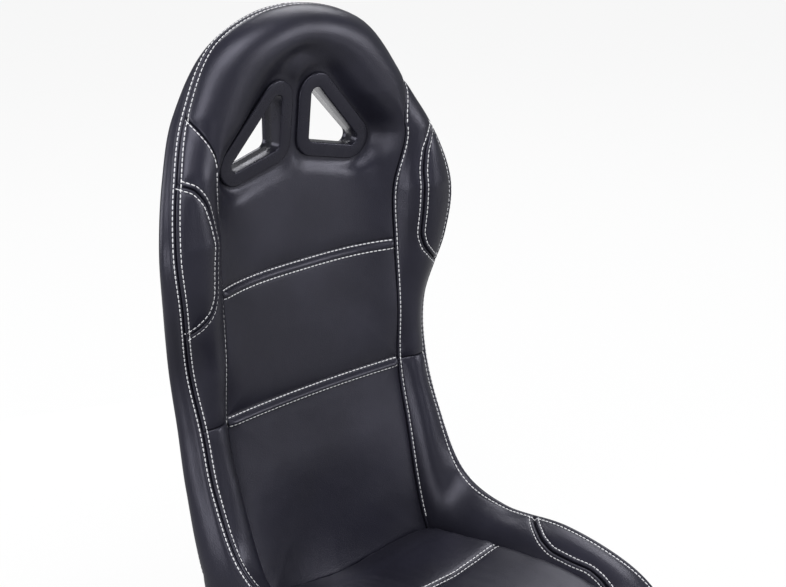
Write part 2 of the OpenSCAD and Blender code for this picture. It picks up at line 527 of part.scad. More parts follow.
// ---- Head loop: a smaller tube whose ends plug into the side tubes ----
loop_rise = 265;      // above the side tubes' ends
loop_half = 92;       // half width at the top corners
loop_r = 45;
loop_plug = 25;       // how far its ends reach into the side tubes
loop_gap = 0.1;
loop_d = tube_d - 2 * tube_wall - 2 * (bend_slip + loop_gap);
module loop_tube(d) translate([0, tube_y(TUBE_TOP), TUBE_TOP]) rotate([90 - recline, 0, 0])
    bent([[tube_x, -loop_plug], [tube_x, loop_plug], [loop_half, loop_rise], [-loop_half, loop_rise],
        [-tube_x, loop_plug], [-tube_x, -loop_plug]], loop_r, d);
module head_loop() color("#202022") difference() {
    loop_tube(loop_d);
    loop_tube(loop_d - 2 * tube_wall);
}

// ---- Elastic straps, hooked round the side tubes ----
// Local frame: x across, y away from the foam, extruded over the strap's width.
module strap() {
    r = tube_d / 2 + strap_seat;
    translate([0, 0, -strap_w / 2]) linear_extrude(strap_w) {
        translate([-tube_x, r]) square([2 * tube_x, strap_t]);
        for (side = [-1, 1]) translate([side * tube_x, 0]) intersection() {
            difference() { circle(r + strap_t, $fn = 64); circle(r, $fn = 64); }
            translate([side > 0 ? 0 : -tube_d, -tube_d]) square([tube_d, 2 * tube_d]);
        }
    }
}
BACK_STRAPS = [210, 320, 410, 500, 590];
SEAT_STRAPS = [-171, -75, 0, 75, 171];
module back_straps() color("#1c1c1e") for (z = BACK_STRAPS)
    translate([0, tube_y(z), z]) rotate([-recline, 0, 0]) strap();
module seat_straps() color("#1c1c1e") for (y = SEAT_STRAPS)
    translate([0, y, base_z]) rotate([90, 0, 0]) strap();

// ---- Slide rails: a C-shaped floor rail, and a hat-shaped seat rail on balls inside it ----
lip_w = 10.5;         // floor rail lip, from its outer face to the curl's inner edge
curl_h = 9;           // depth of the floor rail's inner curl
hat_half = 10;        // half width of the seat rail's hat
flange_half = rail_w / 2 - rail_t - 2;
ball_x = 14;          // ball track, from the middle of the rail
ball_gap = 0.05;
flange_z = rail_t + ball_d + 2 * ball_gap;
slide_gap = 0.3;
rack_y = -20;         // middle tooth
tooth_len = 6;
window_len = 8;
window_in = 3;        // window edges, in from the lip's inner and outer edges
lip_in = rail_w / 2 - lip_w;

module at_rail() translate([tube_x, 0, 0]) children();
module along(length) translate([0, length / 2, 0]) rotate([90, 0, 0]) linear_extrude(length) children();
// Half of a folded sheet section; the bends have a true inner and outer radius.
module bend(x, y, quadrant, t) translate([x, y]) rotate(quadrant * 90) intersection() {
    difference() { circle(2 * t, $fn = 32); circle(t, $fn = 32); }
    square(3 * t);
}
module floor_section() {
    h = rail_w / 2; t = rail_t;
    square([h - 2 * t, t]);
    bend(h - 2 * t, 2 * t, 3, t);
    translate([h - t, 2 * t]) square([t, rail_h - 4 * t]);
    bend(h - 2 * t, rail_h - 2 * t, 0, t);
    translate([lip_in + t, rail_h - t]) square([h - 3 * t - lip_in, t]);
    translate([lip_in, rail_h - curl_h]) square([t, curl_h]);
}
module seat_section() {
    t = rail_t;
    translate([0, upper_h - t]) square([hat_half, t]);
    translate([hat_half - t, flange_z]) square([t, upper_h - flange_z]);
    translate([hat_half - t, flange_z]) square([flange_half - hat_half + t, t]);
    translate([flange_half - t, flange_z]) square([t, rail_h - rail_t - slide_gap - flange_z]);
}
module floor_rail() color("#8f9296") at_rail() difference() {
    union() { along(rail_len) floor_section(); mirror([1, 0, 0]) along(rail_len) floor_section(); }
    for (y = [-1, 1] * floor_span / 2) translate([0, y, -1])
        cylinder(h = rail_t + 2, d = floor_hole_d, $fn = 32);
    for (k = [-7:7])
        translate([-rail_w / 2 + window_in, rack_y + k * pitch - window_len / 2, rail_h - rail_t - 1])
            cube([lip_w - 2 * window_in, window_len, rail_t + 2]);
}
module seat_rail() color("#7d8085") at_rail() difference() {
    union() { along(upper_len) seat_section(); mirror([1, 0, 0]) along(upper_len) seat_section(); }
    for (y = [-1, 1] * seat_span / 2) translate([0, y, upper_h - rail_t - 1])
        cylinder(h = rail_t + 2, d = bolt_d + 0.5, $fn = 32);
    translate([-hat_half - 1, pivot_y, pivot_z]) rotate([0, 90, 0])
        cylinder(h = rail_t + 2, d = pivot_d, $fn = 32);
}
strip_len = 180;
strip_t = 1.4;
BALL_YS = [-75, -25, 25, 75];
module ball_strips() color("#d8d4c4") at_rail() for (side = [-1, 1]) difference() {
    translate([side * ball_x - 4, -strip_len / 2, rail_t + ball_gap + ball_d / 2 - strip_t / 2])
        cube([8, strip_len, strip_t]);
    for (y = BALL_YS) translate([side * ball_x, y, 0]) cylinder(h = 10, d = ball_d + 0.3, $fn = 24);
}
module balls() color("#c8ccd0") at_rail() for (side = [-1, 1], y = BALL_YS)
    translate([side * ball_x, y, rail_t + ball_gap + ball_d / 2]) sphere(d = ball_d, $fn = 24);

// ---- Bolts through the seat rails into the frame feet ----
nut_h = 6.5;
head_h = 5;
module seat_bolts() color("#b9bcc0") both_sides() for (y = [-1, 1] * seat_span / 2)
    translate([tube_x, y, upper_h - rail_t]) {
        translate([0, 0, -head_h]) cylinder(h = head_h, d = bolt_d + 5, $fn = 48);
        translate([0, 0, -0.5]) cylinder(h = rail_t + foot_t + nut_h + 4, d = bolt_d, $fn = 48);
    }
module seat_nuts() color("#b9bcc0") both_sides() for (y = [-1, 1] * seat_span / 2)
    translate([tube_x, y, upper_h + foot_t]) difference() {
        cylinder(h = nut_h, d = bolt_d * 1.5 / cos(30), $fn = 6);
        translate([0, 0, -1]) cylinder(h = nut_h + 2, d = bolt_d + 0.1, $fn = 48);
    }

// ---- Release bar: lifts the toothed latches out of the floor rail's windows ----
bar_d = 10;
bar_z = 36;
bar_front = -236;
bar_back = 30;
bar_r = 30;
pivot_y = 90;
pivot_z = 30;
pivot_d = 6;
latch_t = 2;
latch_gap = 1;        // between latch and seat rail
lift_clear = 0.5;     // the teeth stand this far above the rack when the bar is held up
latch_x = tube_x - hat_half - latch_gap - latch_t;   // inner face of the latch plate
arm_x = latch_x - bar_d / 2 + 1;
latch_z = rail_h + lift_clear + 3;
module release_bar() color("#1a1a1c") {
    translate([0, 0, bar_z])
        bent([[arm_x, bar_back], [arm_x, bar_front], [-arm_x, bar_front], [-arm_x, bar_back]], bar_r, bar_d);
    both_sides() difference() {
        union() {
            translate([latch_x, rack_y - 25, latch_z]) cube([latch_t, pivot_y + 33 - rack_y, 10]);
            translate([latch_x - 8, rack_y - 25, latch_z]) cube([9, 50, 2]);
            for (k = [-1:1])
                translate([tube_x - rail_w / 2 + window_in + 0.5, rack_y + k * pitch - tooth_len / 2,
                    rail_h + lift_clear]) cube([lip_w - 2 * window_in - 1, tooth_len, 4]);
        }
        translate([latch_x - 1, pivot_y, pivot_z]) rotate([0, 90, 0])
            cylinder(h = latch_t + 2, d = pivot_d + 0.1, $fn = 48);
    }
}
grip_len = 110;
module bar_grip() color("#161617") translate([-grip_len / 2, bar_front, bar_z]) rotate([0, 90, 0])
    difference() {
        cylinder(h = grip_len, d = bar_d + 7, $fn = 48);
        translate([0, 0, -1]) cylinder(h = grip_len + 2, d = bar_d + 0.1, $fn = 48);
    }
module bar_pivots() color("#b9bcc0") both_sides() translate([0, pivot_y, pivot_z]) rotate([0, 90, 0]) {
    translate([0, 0, latch_x - 3.3]) cylinder(h = 3, d = pivot_d + 5, $fn = 48);
    translate([0, 0, latch_x - 1]) cylinder(h = latch_t + latch_gap + rail_t + 1, d = pivot_d, $fn = 48);
}

head_panel();
mid_panel();
lumbar_panel();
shoulder_panel();  // shoulder_panel_left
mirror([1, 0, 0]) shoulder_panel();  // shoulder_panel_right
shoulder_patch();  // shoulder_patch_left
mirror([1, 0, 0]) shoulder_patch();  // shoulder_patch_right
bolster_panel();  // bolster_panel_left
mirror([1, 0, 0]) bolster_panel();  // bolster_panel_right
thigh_patch();  // thigh_patch_left
mirror([1, 0, 0]) thigh_patch();  // thigh_patch_right
side_panel();  // side_panel_left
mirror([1, 0, 0]) side_panel();  // side_panel_right
rear_cover();
seat_cushion();
back_foam();
seat_foam();
frame();
head_loop();
back_straps();
seat_straps();
bezel_front();  // bezel_front_left
mirror([1, 0, 0]) bezel_front();  // bezel_front_right
bezel_rear();  // bezel_rear_left
mirror([1, 0, 0]) bezel_rear();  // bezel_rear_right
seat_rail();  // seat_rail_left
mirror([1, 0, 0]) seat_rail();  // seat_rail_right
floor_rail();  // floor_rail_left
mirror([1, 0, 0]) floor_rail();  // floor_rail_right
seat_bolts();
seat_nuts();
ball_strips();  // ball_strips_left
mirror([1, 0, 0]) ball_strips();  // ball_strips_right
balls();  // balls_left
mirror([1, 0, 0]) balls();  // balls_right
release_bar();
bar_grip();
bar_pivots();
front_apron();
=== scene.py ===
# %% [markdown]
# # Dressing a fixed-back racing seat
#
# The frame, the slide rails and the harness bezels were drawn as exact solids. Here the seat gets its
# looks: sewn covers over padding, stitching, a loose seat cushion, moulded trim, paint and plating.
# Every piece is built in metres in the frame's own axes: +Z is up, -Y is the way the sitter faces.

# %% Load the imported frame
import json
import math

import bmesh
import bpy
import numpy as np
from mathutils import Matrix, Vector, noise
from mathutils.bvhtree import BVHTree
from mathutils.kdtree import KDTree


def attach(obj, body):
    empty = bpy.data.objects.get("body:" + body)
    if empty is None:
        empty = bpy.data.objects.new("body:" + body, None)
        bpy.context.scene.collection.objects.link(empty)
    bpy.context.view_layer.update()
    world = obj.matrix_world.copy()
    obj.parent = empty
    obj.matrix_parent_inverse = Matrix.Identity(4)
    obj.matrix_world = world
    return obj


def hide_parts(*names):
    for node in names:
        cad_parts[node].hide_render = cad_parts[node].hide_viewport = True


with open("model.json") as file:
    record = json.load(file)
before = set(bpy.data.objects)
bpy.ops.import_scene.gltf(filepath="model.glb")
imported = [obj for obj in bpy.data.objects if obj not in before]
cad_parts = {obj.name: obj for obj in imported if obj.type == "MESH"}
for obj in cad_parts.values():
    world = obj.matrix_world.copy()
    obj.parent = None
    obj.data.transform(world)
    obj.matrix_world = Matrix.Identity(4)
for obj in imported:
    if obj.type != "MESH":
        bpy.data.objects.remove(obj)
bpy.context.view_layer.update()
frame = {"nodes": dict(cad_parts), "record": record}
nodes = frame["nodes"]
MM = 0.001

# %% [markdown]
# The camera comes first, so that every later step can be judged through it. A long lens from the front
# left and a little above shows the back, one wing and the start of the cushion. The focal length is
# kept in pixels of the picture and turned into a lens for Blender's 36 mm wide sensor.

# %% Camera
PICTURE_W = 786
FOCAL_PX = 1685.8
SENSOR_MM = 36
VIEW_AZIMUTH = math.radians(-44)
VIEW_ELEVATION = math.radians(19.94)
CAMERA_AT = Vector((-1.468, -1.396, 1.366))

camera = bpy.data.objects.new("camera", bpy.data.cameras.new("camera"))
bpy.context.scene.collection.objects.link(camera)
bpy.context.scene.camera = camera
away = Vector((math.sin(VIEW_AZIMUTH) * math.cos(VIEW_ELEVATION),
               -math.cos(VIEW_AZIMUTH) * math.cos(VIEW_ELEVATION), math.sin(VIEW_ELEVATION)))
camera.location = CAMERA_AT
camera.rotation_mode = "QUATERNION"
camera.rotation_quaternion = (-away).to_track_quat("-Z", "Y")
camera.data.sensor_width = SENSOR_MM
camera.data.lens = FOCAL_PX / PICTURE_W * SENSOR_MM
camera.data.clip_end = 50
print("lens", round(camera.data.lens, 1), "mm")

# %% [markdown]
# A bucket seat is drawn like a boat hull: a lines plan gives a few long curves, and the surface is
# lofted through them. Station 0 is the crown, 9 is the hip, and 14 is the front of the thigh bolsters.
# These are the same rows that the solids use, in millimetres, so the covers land on their foam. Of the
# short lists, TROUGH says how flat a section stays before it turns to its inner seam, ROLL how much of
# it belongs to the padded head roll, and SWELL how many millimetres its bolster bulges.

# %% Lines plan
SPINE = [(305, 885), (307, 868), (315, 830), (326, 760), (318, 680), (311, 600), (303, 500), (291, 413),
         (279, 330), (238, 135), (110, 104), (-10, 104), (-140, 104), (-200, 102), (-228, 96)]
INNER = [(0, 292, 920), (88, 289, 893), (150, 281, 825), (169, 274, 762), (160, 289, 680), (160, 287, 600),
         (161, 280, 500), (163, 283, 413), (163, 266, 330), (156, 206, 150), (155, 110, 160),
         (156, -10, 170), (155, -140, 168), (152, -205, 145), (146, -236, 104)]
RIM = [(0, 334, 958), (122, 331, 926), (188, 315, 840), (230, 284, 762), (251, 263, 680), (243, 265, 600),
       (221, 287, 500), (212, 274, 413), (215, 248, 330), (217, 196, 243), (220, 110, 213),
       (222, -10, 222), (220, -130, 205), (212, -204, 165), (203, -238, 108)]
OUTER = [(0, 362, 949), (117, 351, 914), (187, 339, 836), (229, 312, 762), (254, 292, 680), (249, 298, 600),
         (233, 314, 500), (227, 309, 413), (231, 291, 330), (234, 257, 214), (230, 190, 84), (230, -10, 74),
         (225, -130, 76), (217, -200, 84), (206, -232, 92)]
REAR = [(370, 914), (368, 900), (354, 832), (354, 762), (370, 680), (372, 600), (365, 500), (356, 413),
        (346, 330), (331, 170), (290, 110), (280, 90), (270, 80), (260, 80), (250, 80)]
TROUGH = [2, 2, 6, 8, 4, 3, 2.5, 2, 2, 2, 30, 30, 30, 30, 30]
ROLL = [1, 1, 1, 0.2] + [0] * 11
SWELL = [0, 0, 0, 12, 25, 16, 10, 10, 13, 14, 12, 10, 10, 9, 6]
ROLL_START = 0.3         # the head roll stays flat up to this share of its half width
TROUGH_LIMIT = 8         # the depth of a section bends no later than this power
LEVEL_TROUGH = 9         # above this power the height bends late as well, so the seat is level
SWELL_POWER = 1.2        # a bolster bulges a little more narrowly than half a wave
S_UPPER, S_WAIST, S_HIP, S_NOSE = 5.02, 6.99, 9, 14
S_TUCK = S_HIP + 0.07    # the lumbar cover is tucked in behind the cushion
NECK = [(2, 2), (2.11, 1.66), (2.24, 1.39), (2.4, 1.2), (2.6, 1.07), (2.85, 1)]
WING_PATCH = [(2.98, 2), (3.15, 1.6), (3.45, 1.41), (3.7, 1.39), (4, 1.41), (4.4, 1.42), (4.85, 1.41),
              (5.07, 1.48), (5.27, 1.7), (5.45, 2)]
THIGH_PATCH = [(10.48, 2), (10.56, 1.87), (10.72, 1.68), (10.9, 1.51), (11.1, 1.42), (11.35, 1.41),
               (11.55, 1.43), (11.72, 1.39), (11.9, 1.3), (12.1, 1.22), (12.5, 1.17), (S_NOSE, 1.15)]
print(len(SPINE), "stations,", RIM[0][-1], "mm to the crown's edge")

# %% [markdown]
# Two functions give any point of the seat's skin. `front(u, s)` runs from the spine (u = 0) over the
# inner seam (1) to the edge seam (2). `outer(v, s)` carries on round the side (0 to 1) and across the
# back (to 3). Both take whole arrays, because one NumPy call on ten thousand points is far faster than
# ten thousand calls. Negative u, and negative s on the outside, give the right half.

# %% Surface functions
SLOPE_STEP = 0.01        # of either parameter
CROWN_S = 0.1            # normals nearer the crown are taken here
BACK_SHARES = np.array([0.6, 0.12, 0.36])    # from the middle of the back to the outer corner


def plan_rows(rows):
    """Rows in metres, with one more at each end for the spline: above the crown it is the mirror image."""
    points = np.array([r if len(r) == 3 else (0, *r) for r in rows], float) * MM
    return np.vstack([points[1] * (-1, 1, 1), points, points[-1]])


ROWS = {name: plan_rows(rows) for name, rows in
        {"spine": SPINE, "inner": INNER, "rim": RIM, "outer": OUTER, "rear": REAR}.items()}


def spline(p0, p1, p2, p3, t):
    return 0.5 * (2 * p1 + (p2 - p0) * t + (2 * p0 - 5 * p1 + 4 * p2 - p3) * t ** 2
                  + (3 * p1 - p0 - 3 * p2 + p3) * t ** 3)


def plan(name, s):
    rows = ROWS[name]
    i = np.clip(np.floor(s).astype(int), 0, S_NOSE - 1)
    return spline(rows[i], rows[i + 1], rows[i + 2], rows[i + 3], (s - i)[..., None])


def at_station(values, s):
    return np.interp(s, np.arange(len(values)), values)


def unit(v):
    return v / np.maximum(np.linalg.norm(v, axis=-1, keepdims=True), 1e-12)


def mixed(a, b, share):
    return a + (b - a) * share


def bent(a, b, *shares):
    """From a towards b, with a share of its own for x, y and z."""
    return mixed(a, b, np.stack(shares, -1))


def smooth_step(t):
    return t * t * (3 - 2 * t)


def run_of(points):
    """How far each point of a line lies from its start."""
    return np.concatenate([[0], np.cumsum(np.linalg.norm(np.diff(points, axis=0), axis=1))])


def pair(a, s):
    """Both parameters as arrays of one shape."""
    return np.broadcast_arrays(np.asarray(a, float), np.asarray(s, float))


def flip(vectors, signed):
    """Turns x round where signed is negative, which is the right half."""
    vectors[..., 0] *= np.where(signed < 0, -1, 1)
    return vectors


def front(u, s):
    u, s = pair(u, s)
    q = np.abs(u)
    a, b, c = plan("spine", s), plan("inner", s), plan("rim", s)
    trough, rise, roll = at_station(TROUGH, s), at_station(SWELL, s) * MM, at_station(ROLL, s)[..., None]
    run = plan("rim", np.minimum(s + 0.1, S_NOSE)) - plan("rim", np.maximum(s - 0.1, 0))
    inside = np.minimum(q, 1)
    centre = bent(a, b, inside, inside ** np.minimum(trough, TROUGH_LIMIT),
                  np.where(trough > LEVEL_TROUGH, inside ** trough, inside))
    w = np.maximum(q - 1, 0)
    hump = np.maximum(np.sin(np.pi * w), 0) ** SWELL_POWER * rise
    bolster = mixed(b, c, w[..., None]) + unit(np.cross(run, c - b)) * hump[..., None]
    ramp = np.maximum(inside - ROLL_START, 0) / (1 - ROLL_START)
    pad = bent(a, b, inside, smooth_step(ramp), inside)
    turn = w * np.pi / 2
    edge = bent(b, c, np.sin(turn), 1 - np.cos(turn), np.sin(turn))
    in_centre = (q <= 1)[..., None]
    return flip(mixed(np.where(in_centre, centre, bolster), np.where(in_centre, pad, edge), roll), u)


def outer(v, s):
    """Positive s is the left half and negative s the right half, so one strip can run over the crown."""
    v, signed = pair(v, s)
    s = np.abs(signed)
    r, b, c = plan("rim", s), plan("outer", s), plan("rear", s)
    back = mixed(c, b, BACK_SHARES)
    knots = np.stack([2 * r - b, r, b, back, c, back * (-1, 1, 1)])
    i = np.clip(np.floor(v).astype(int), 0, 2)
    k = [np.take_along_axis(knots, (i + n)[None, ..., None], 0)[0] for n in range(4)]
    return flip(spline(*k, (v - i)[..., None]), signed)


def surface_normal(surface, a, s, a_range):
    """The outward normal of front or outer, from small steps along both parameters."""
    d = SLOPE_STEP
    across = surface(np.minimum(a + d, a_range[1]), s) - surface(np.maximum(a - d, a_range[0]), s)
    down = surface(a, np.minimum(s + d, S_NOSE)) - surface(a, s - d)
    return unit(np.cross(down, across))


def front_normal(u, s):
    """At the crown the sections close up like a fan, so the normal is taken just below it."""
    u, s = pair(u, s)
    return flip(surface_normal(front, np.abs(u), np.maximum(s, CROWN_S), (-2, 2)), u)


def outer_normal(v, s):
    v, s = pair(v, s)
    return flip(surface_normal(outer, v, np.maximum(np.abs(s), 1.1 * SLOPE_STEP), (0, 3)), s)


print("crown", front(2.0, 0.0).round(3), "wing", front(2.0, 4.0).round(3))

# %% [markdown]
# A sewn cover is shaped by its seams. The leather dives into a narrow valley where two panels meet,
# is pinched again under each row of stitches, and only then swells over its wadding. So a seam is kept
# as a line of points with a normal, a direction across it, the rows of stitches beside it, and the low
# ribs that bulge between those rows. The cross seams are folded, so their valley lies beside the line,
# and a patch's valley runs out where it meets another seam. Any panel can then ask how far each seam is.

# %% Seams
ROW_OFF = 6 * MM        # the front row beside the edge seam
EDGE_RIBS = ((-2.5 * MM, 1.4 * MM, 1.2 * MM),)    # middle, width and height of each rib
BAND_ROW = 3.4 * MM     # the row on the band's side of the edge seam
BAND_RIBS = ((4.2 * MM, 3.0 * MM, 1.8 * MM),)
WING_ROW, THIGH_ROW = 5.6 * MM, 6.6 * MM    # stitch rows beside the patches' seams
RUN_OUT = 12 * MM
INNER_ROW = {"left": 4 * MM, "right": 3 * MM}
INNER_DEPTH = {"left": 2.2, "right": 1.6}
CROSS_ROWS = (-2.2 * MM, 10 * MM)
CROSS_FOLD = -4.4 * MM    # the fold lies just above the upper row
CROSS_RIBS = {"upper": ((4.6 * MM, 4.2 * MM, 2.0 * MM),), "lower": ((5.6 * MM, 4.6 * MM, 3.4 * MM),)}


def smooth_pick(pairs, s):
    """u at station s on a seam given by (station, u) pairs: smooth, and level beyond both ends."""
    x, y = np.array(pairs, float).T
    slope = np.diff(y) / np.diff(x)
    both = slope[:-1] + slope[1:]
    inner = np.where(slope[:-1] * slope[1:] > 0, 2 * slope[:-1] * slope[1:] / np.where(both == 0, 1, both), 0)
    m = np.concatenate([slope[:1], inner, slope[-1:]])
    i = np.clip(np.searchsorted(x, s) - 1, 0, len(x) - 2)
    h = x[i + 1] - x[i]
    t = np.clip((s - x[i]) / h, 0, 1)
    return ((1 + 2 * t) * (1 - t) ** 2 * y[i] + t * (1 - t) ** 2 * h * m[i]
            + smooth_step(t) * y[i + 1] + t * t * (t - 1) * h * m[i + 1])


def make_seam(points, normals, across, rows=(), ribs=(), depth=2.3, width=1.05, fold=0.0, run_out=(0, 0)):
    """across is roughly the direction that counts as positive, and is squared up to the seam. Depth and
    width are in millimetres. Over the lengths in run_out the valley grows from nothing at each end."""
    along = unit(np.gradient(points, axis=0))
    side = unit(np.cross(along, normals))
    side *= np.sign(np.sum(side * across, -1, keepdims=True) + 1e-12)
    tree = KDTree(len(points))
    for i, p in enumerate(points):
        tree.insert(p, i)
    tree.balance()
    run = run_of(points)
    full = np.ones(len(points))
    for from_end, length in zip((run, run[-1] - run), run_out):
        if length:
            full *= np.clip(from_end / length, 0, 1)
    return {"points": points, "normals": normals, "side": side, "along": along, "rows": rows, "ribs": ribs,
            "full": full, "depth": depth * MM, "width": width * MM, "fold": fold, "tree": tree, "run": run}


def front_seam(u, s, half, across, **kind):
    """A seam on the front surface; across is "u" or "s", the parameter that grows on its positive side."""
    step = 2 * SLOPE_STEP
    points = front(u * half, s)
    direction = points - front((u - step) * half, s) if across == "u" else front(u * half, s + step) - points
    return make_seam(points, front_normal(u * half, s), direction, **kind)


def twin_ribs(row):
    """The two low ribs that bulge between a seam and the row of stitches on each side of it."""
    return tuple((side * 0.56 * row, 0.36 * row, 1.3 * MM) for side in (-1, 1))


EDGE_S = np.linspace(0, S_NOSE, 1600)
CROSS_U = np.linspace(-1, 1, 330)
seams = {}
for half, word in ((1, "left"), (-1, "right")):
    rim_point = front(2.0 * half, EDGE_S)
    rim_normal = unit(front_normal(1.995 * half, EDGE_S) + outer_normal(0.01, EDGE_S * half))
    outward = rim_point - front(1.98 * half, EDGE_S)
    backward = outer(0.02, np.maximum(EDGE_S, 1e-6) * half) - rim_point
    seams["edge_" + word] = make_seam(rim_point, rim_normal, outward, rows=(-ROW_OFF,), ribs=EDGE_RIBS)
    seams["band_" + word] = make_seam(rim_point, rim_normal, backward, rows=(BAND_ROW,), ribs=BAND_RIBS)
    s = np.linspace(NECK[-1][0], S_TUCK, 700)
    seams["inner_" + word] = front_seam(1.0, s, half, "u", rows=(INNER_ROW[word],), depth=INNER_DEPTH[word])
    s = np.linspace(NECK[0][0] + 0.005, NECK[-1][0], 220)
    seams["neck_" + word] = front_seam(smooth_pick(NECK, s), s, half, "s", rows=(INNER_ROW[word],), width=1.2)
    for kind, patch, count, row, run_out in (("wing", WING_PATCH, 500, WING_ROW, (RUN_OUT, RUN_OUT)),
                                             ("thigh", THIGH_PATCH, 700, THIGH_ROW, (RUN_OUT, 0))):
        s = np.linspace(patch[0][0], patch[-1][0], count)
        seams[f"{kind}_{word}"] = front_seam(smooth_pick(patch, s), s, half, "u", rows=(-row, row),
                                             ribs=twin_ribs(row), depth=2.0, width=0.9, run_out=run_out)
    seams["waist_" + word] = front_seam(np.linspace(1, 2, 80), S_WAIST, half, "s", depth=1.3, width=1.0)
    s = np.linspace(0.02, S_HIP, 900)
    corner = outer(1.0, s * half)
    seams["rear_" + word] = make_seam(corner, outer_normal(1.0, s * half), outer(1.03, s * half) - corner,
                                      rows=(INNER_ROW["left"],), depth=2.0, width=1.3)
for word, station in (("upper", S_UPPER), ("lower", S_WAIST)):
    seams[word] = front_seam(CROSS_U, station, 1, "s", rows=CROSS_ROWS, ribs=CROSS_RIBS[word], depth=2.0,
                             fold=CROSS_FOLD)
seams["tuck"] = front_seam(CROSS_U, S_TUCK, 1, "s", depth=1.5, width=3.0)
print(len(seams), "seams,", round(sum(seam["run"][-1] for seam in seams.values()), 1), "m in all")

# %% [markdown]
# The height of the cover over its foam is then one short sum: wadding that swells away from the nearest
# seam, minus the valley, minus the pinch under each row, plus the ribs. Two noises of different sizes
# add the slight unevenness that hand-glued foam always has.

# %% Padding
PUFF = 4 * MM
PUFF_REACH = 12 * MM
CROWN = 4 * MM          # how much fuller the centre panels are in the middle
CROWN_REACH = 45 * MM
PINCH = 0.75 * MM
PINCH_WIDTH = 1.3 * MM
ROW_REACH = 30 * MM     # rows and ribs count only so near their seam
LEAN_REACH = 8 * MM     # so near a seam the cover moves along the seam's own normal
UNEVEN = 0.45 * MM


def lumps(points, size, seed):
    return np.array([noise.noise(Vector(p) / size + Vector((seed, 0, 0))) for p in points.reshape(-1, 3)])


def from_seam(points, seam):
    """Distance from a seam, signed distance across it, and the seam sample that is nearest."""
    near = np.array([seam["tree"].find(p)[1] for p in points])
    offset = points - seam["points"][near]
    along = np.sum(offset * seam["along"][near], -1, keepdims=True) * seam["along"][near]
    ends = (near == 0) | (near == len(seam["points"]) - 1)
    flat = np.where(ends[:, None], offset, offset - along)
    return np.linalg.norm(flat, axis=-1), np.sum(offset * seam["side"][near], -1), near


def sewn(points, normals, names, puff=PUFF, crown=0.0):
    """The points of a plain surface moved to the shape of a padded, sewn cover, and how near a seam is."""
    shape = points.shape
    p, n = points.reshape(-1, 3), normals.reshape(-1, 3).copy()
    nearest = np.full(len(p), 1.0)
    valley, pinch, rib = np.zeros(len(p)), np.zeros(len(p)), np.zeros(len(p))
    for name in names:
        seam = seams[name]
        gap, across, near = from_seam(p, seam)
        if seam["fold"]:
            gap = np.abs(across - seam["fold"])
        nearest = np.minimum(nearest, gap)
        full = seam["full"][near]
        valley = np.maximum(valley, full * seam["depth"] * np.exp(-(gap / seam["width"]) ** 2))
        close = gap < ROW_REACH
        for row in seam["rows"]:
            fall = np.exp(-((across - row) / PINCH_WIDTH) ** 2) * close
            pinch = np.maximum(pinch, PINCH * fall)
        for middle, width, height in seam["ribs"]:
            rib = np.maximum(rib, full * height * np.exp(-((across - middle) / width) ** 2) * close)
        lean = np.clip(gap / LEAN_REACH, 0, 1)[:, None]
        n = mixed(seam["normals"][near], n, smooth_step(lean))
    open_part = 1 - np.exp(-nearest / PUFF_REACH)
    uneven = UNEVEN * (lumps(p, 0.07, 3) + 0.35 * lumps(p, 0.022, 8)) * open_part
    height = puff * open_part + crown * (1 - np.exp(-nearest / CROWN_REACH)) + uneven + rib - valley - pinch
    return (p + unit(n) * height[:, None]).reshape(shape), nearest.reshape(shape[:-1])


print("a cover stands", PUFF / MM, "mm proud away from its seams")

# %% [markdown]
# Panels are grids of points. The columns crowd together beside the seams, where the valley and the
# pinch need them, and open out over the plain leather. A Solidify modifier then gives each panel the
# thickness of a cover with its backing, so that every piece is a closed solid.

# %% Panel meshes
EDGE_STEPS = np.array([0, 0.7, 1.4, 2.1, 2.9, 3.8, 4.8, 5.8, 6.8, 8.2, 10, 12.5]) * MM
COVER_T = 2.4 * MM
SHADE_REACH = 1.8 * MM
WELD_REACH = 0.02 * MM
NO_SEAM = 50 * MM       # stands for the distance where no seam is near
skins = []


def spaced(length, count):
    """Places along a length: crowded at both ends, and even between."""
    edge = EDGE_STEPS * min(1, 0.42 * length / EDGE_STEPS[-1])
    middle = np.linspace(edge[-1], length - edge[-1], count)[1:-1]
    return np.concatenate([edge, middle, length - edge[::-1]])


def grid_between(surface, s_ends, a_from, a_to, cell):
    """Grids of both parameters, even in real distance: rows down the seat, columns across it."""
    fine = np.linspace(*s_ends, 400)
    middle = surface((a_from(fine) + a_to(fine)) / 2, fine)
    run = run_of(middle)
    rows = np.interp(spaced(run[-1], max(int(run[-1] / cell), 3)), run, fine)
    share = np.linspace(0, 1, 160)
    a_rows = [mixed(a_from(np.array([s]))[0], a_to(np.array([s]))[0], share) for s in rows]
    runs = [run_of(surface(a, s)) for a, s in zip(a_rows, rows)]
    columns = max(int(max(r[-1] for r in runs) / cell), 3)
    grid_a = np.array([np.interp(spaced(r[-1], columns), r, a) for r, a in zip(runs, a_rows)])
    return grid_a, np.repeat(rows[:, None], grid_a.shape[1], 1)


def mesh_object(name, points, faces, smooth=True):
    mesh = bpy.data.meshes.new(name)
    mesh.from_pydata(np.asarray(points, float).reshape(-1, 3).tolist(), [], faces)
    mesh.validate()
    if smooth:
        mesh.shade_smooth()
    made = bpy.data.objects.new(name, mesh)
    bpy.context.scene.collection.objects.link(made)
    return made


def grid_faces(m, n, start=0):
    i, j = np.meshgrid(np.arange(m - 1), np.arange(n - 1), indexing="ij")
    a = start + (i * n + j).ravel()
    return np.stack([a, a + n, a + n + 1, a + 1], -1).tolist()


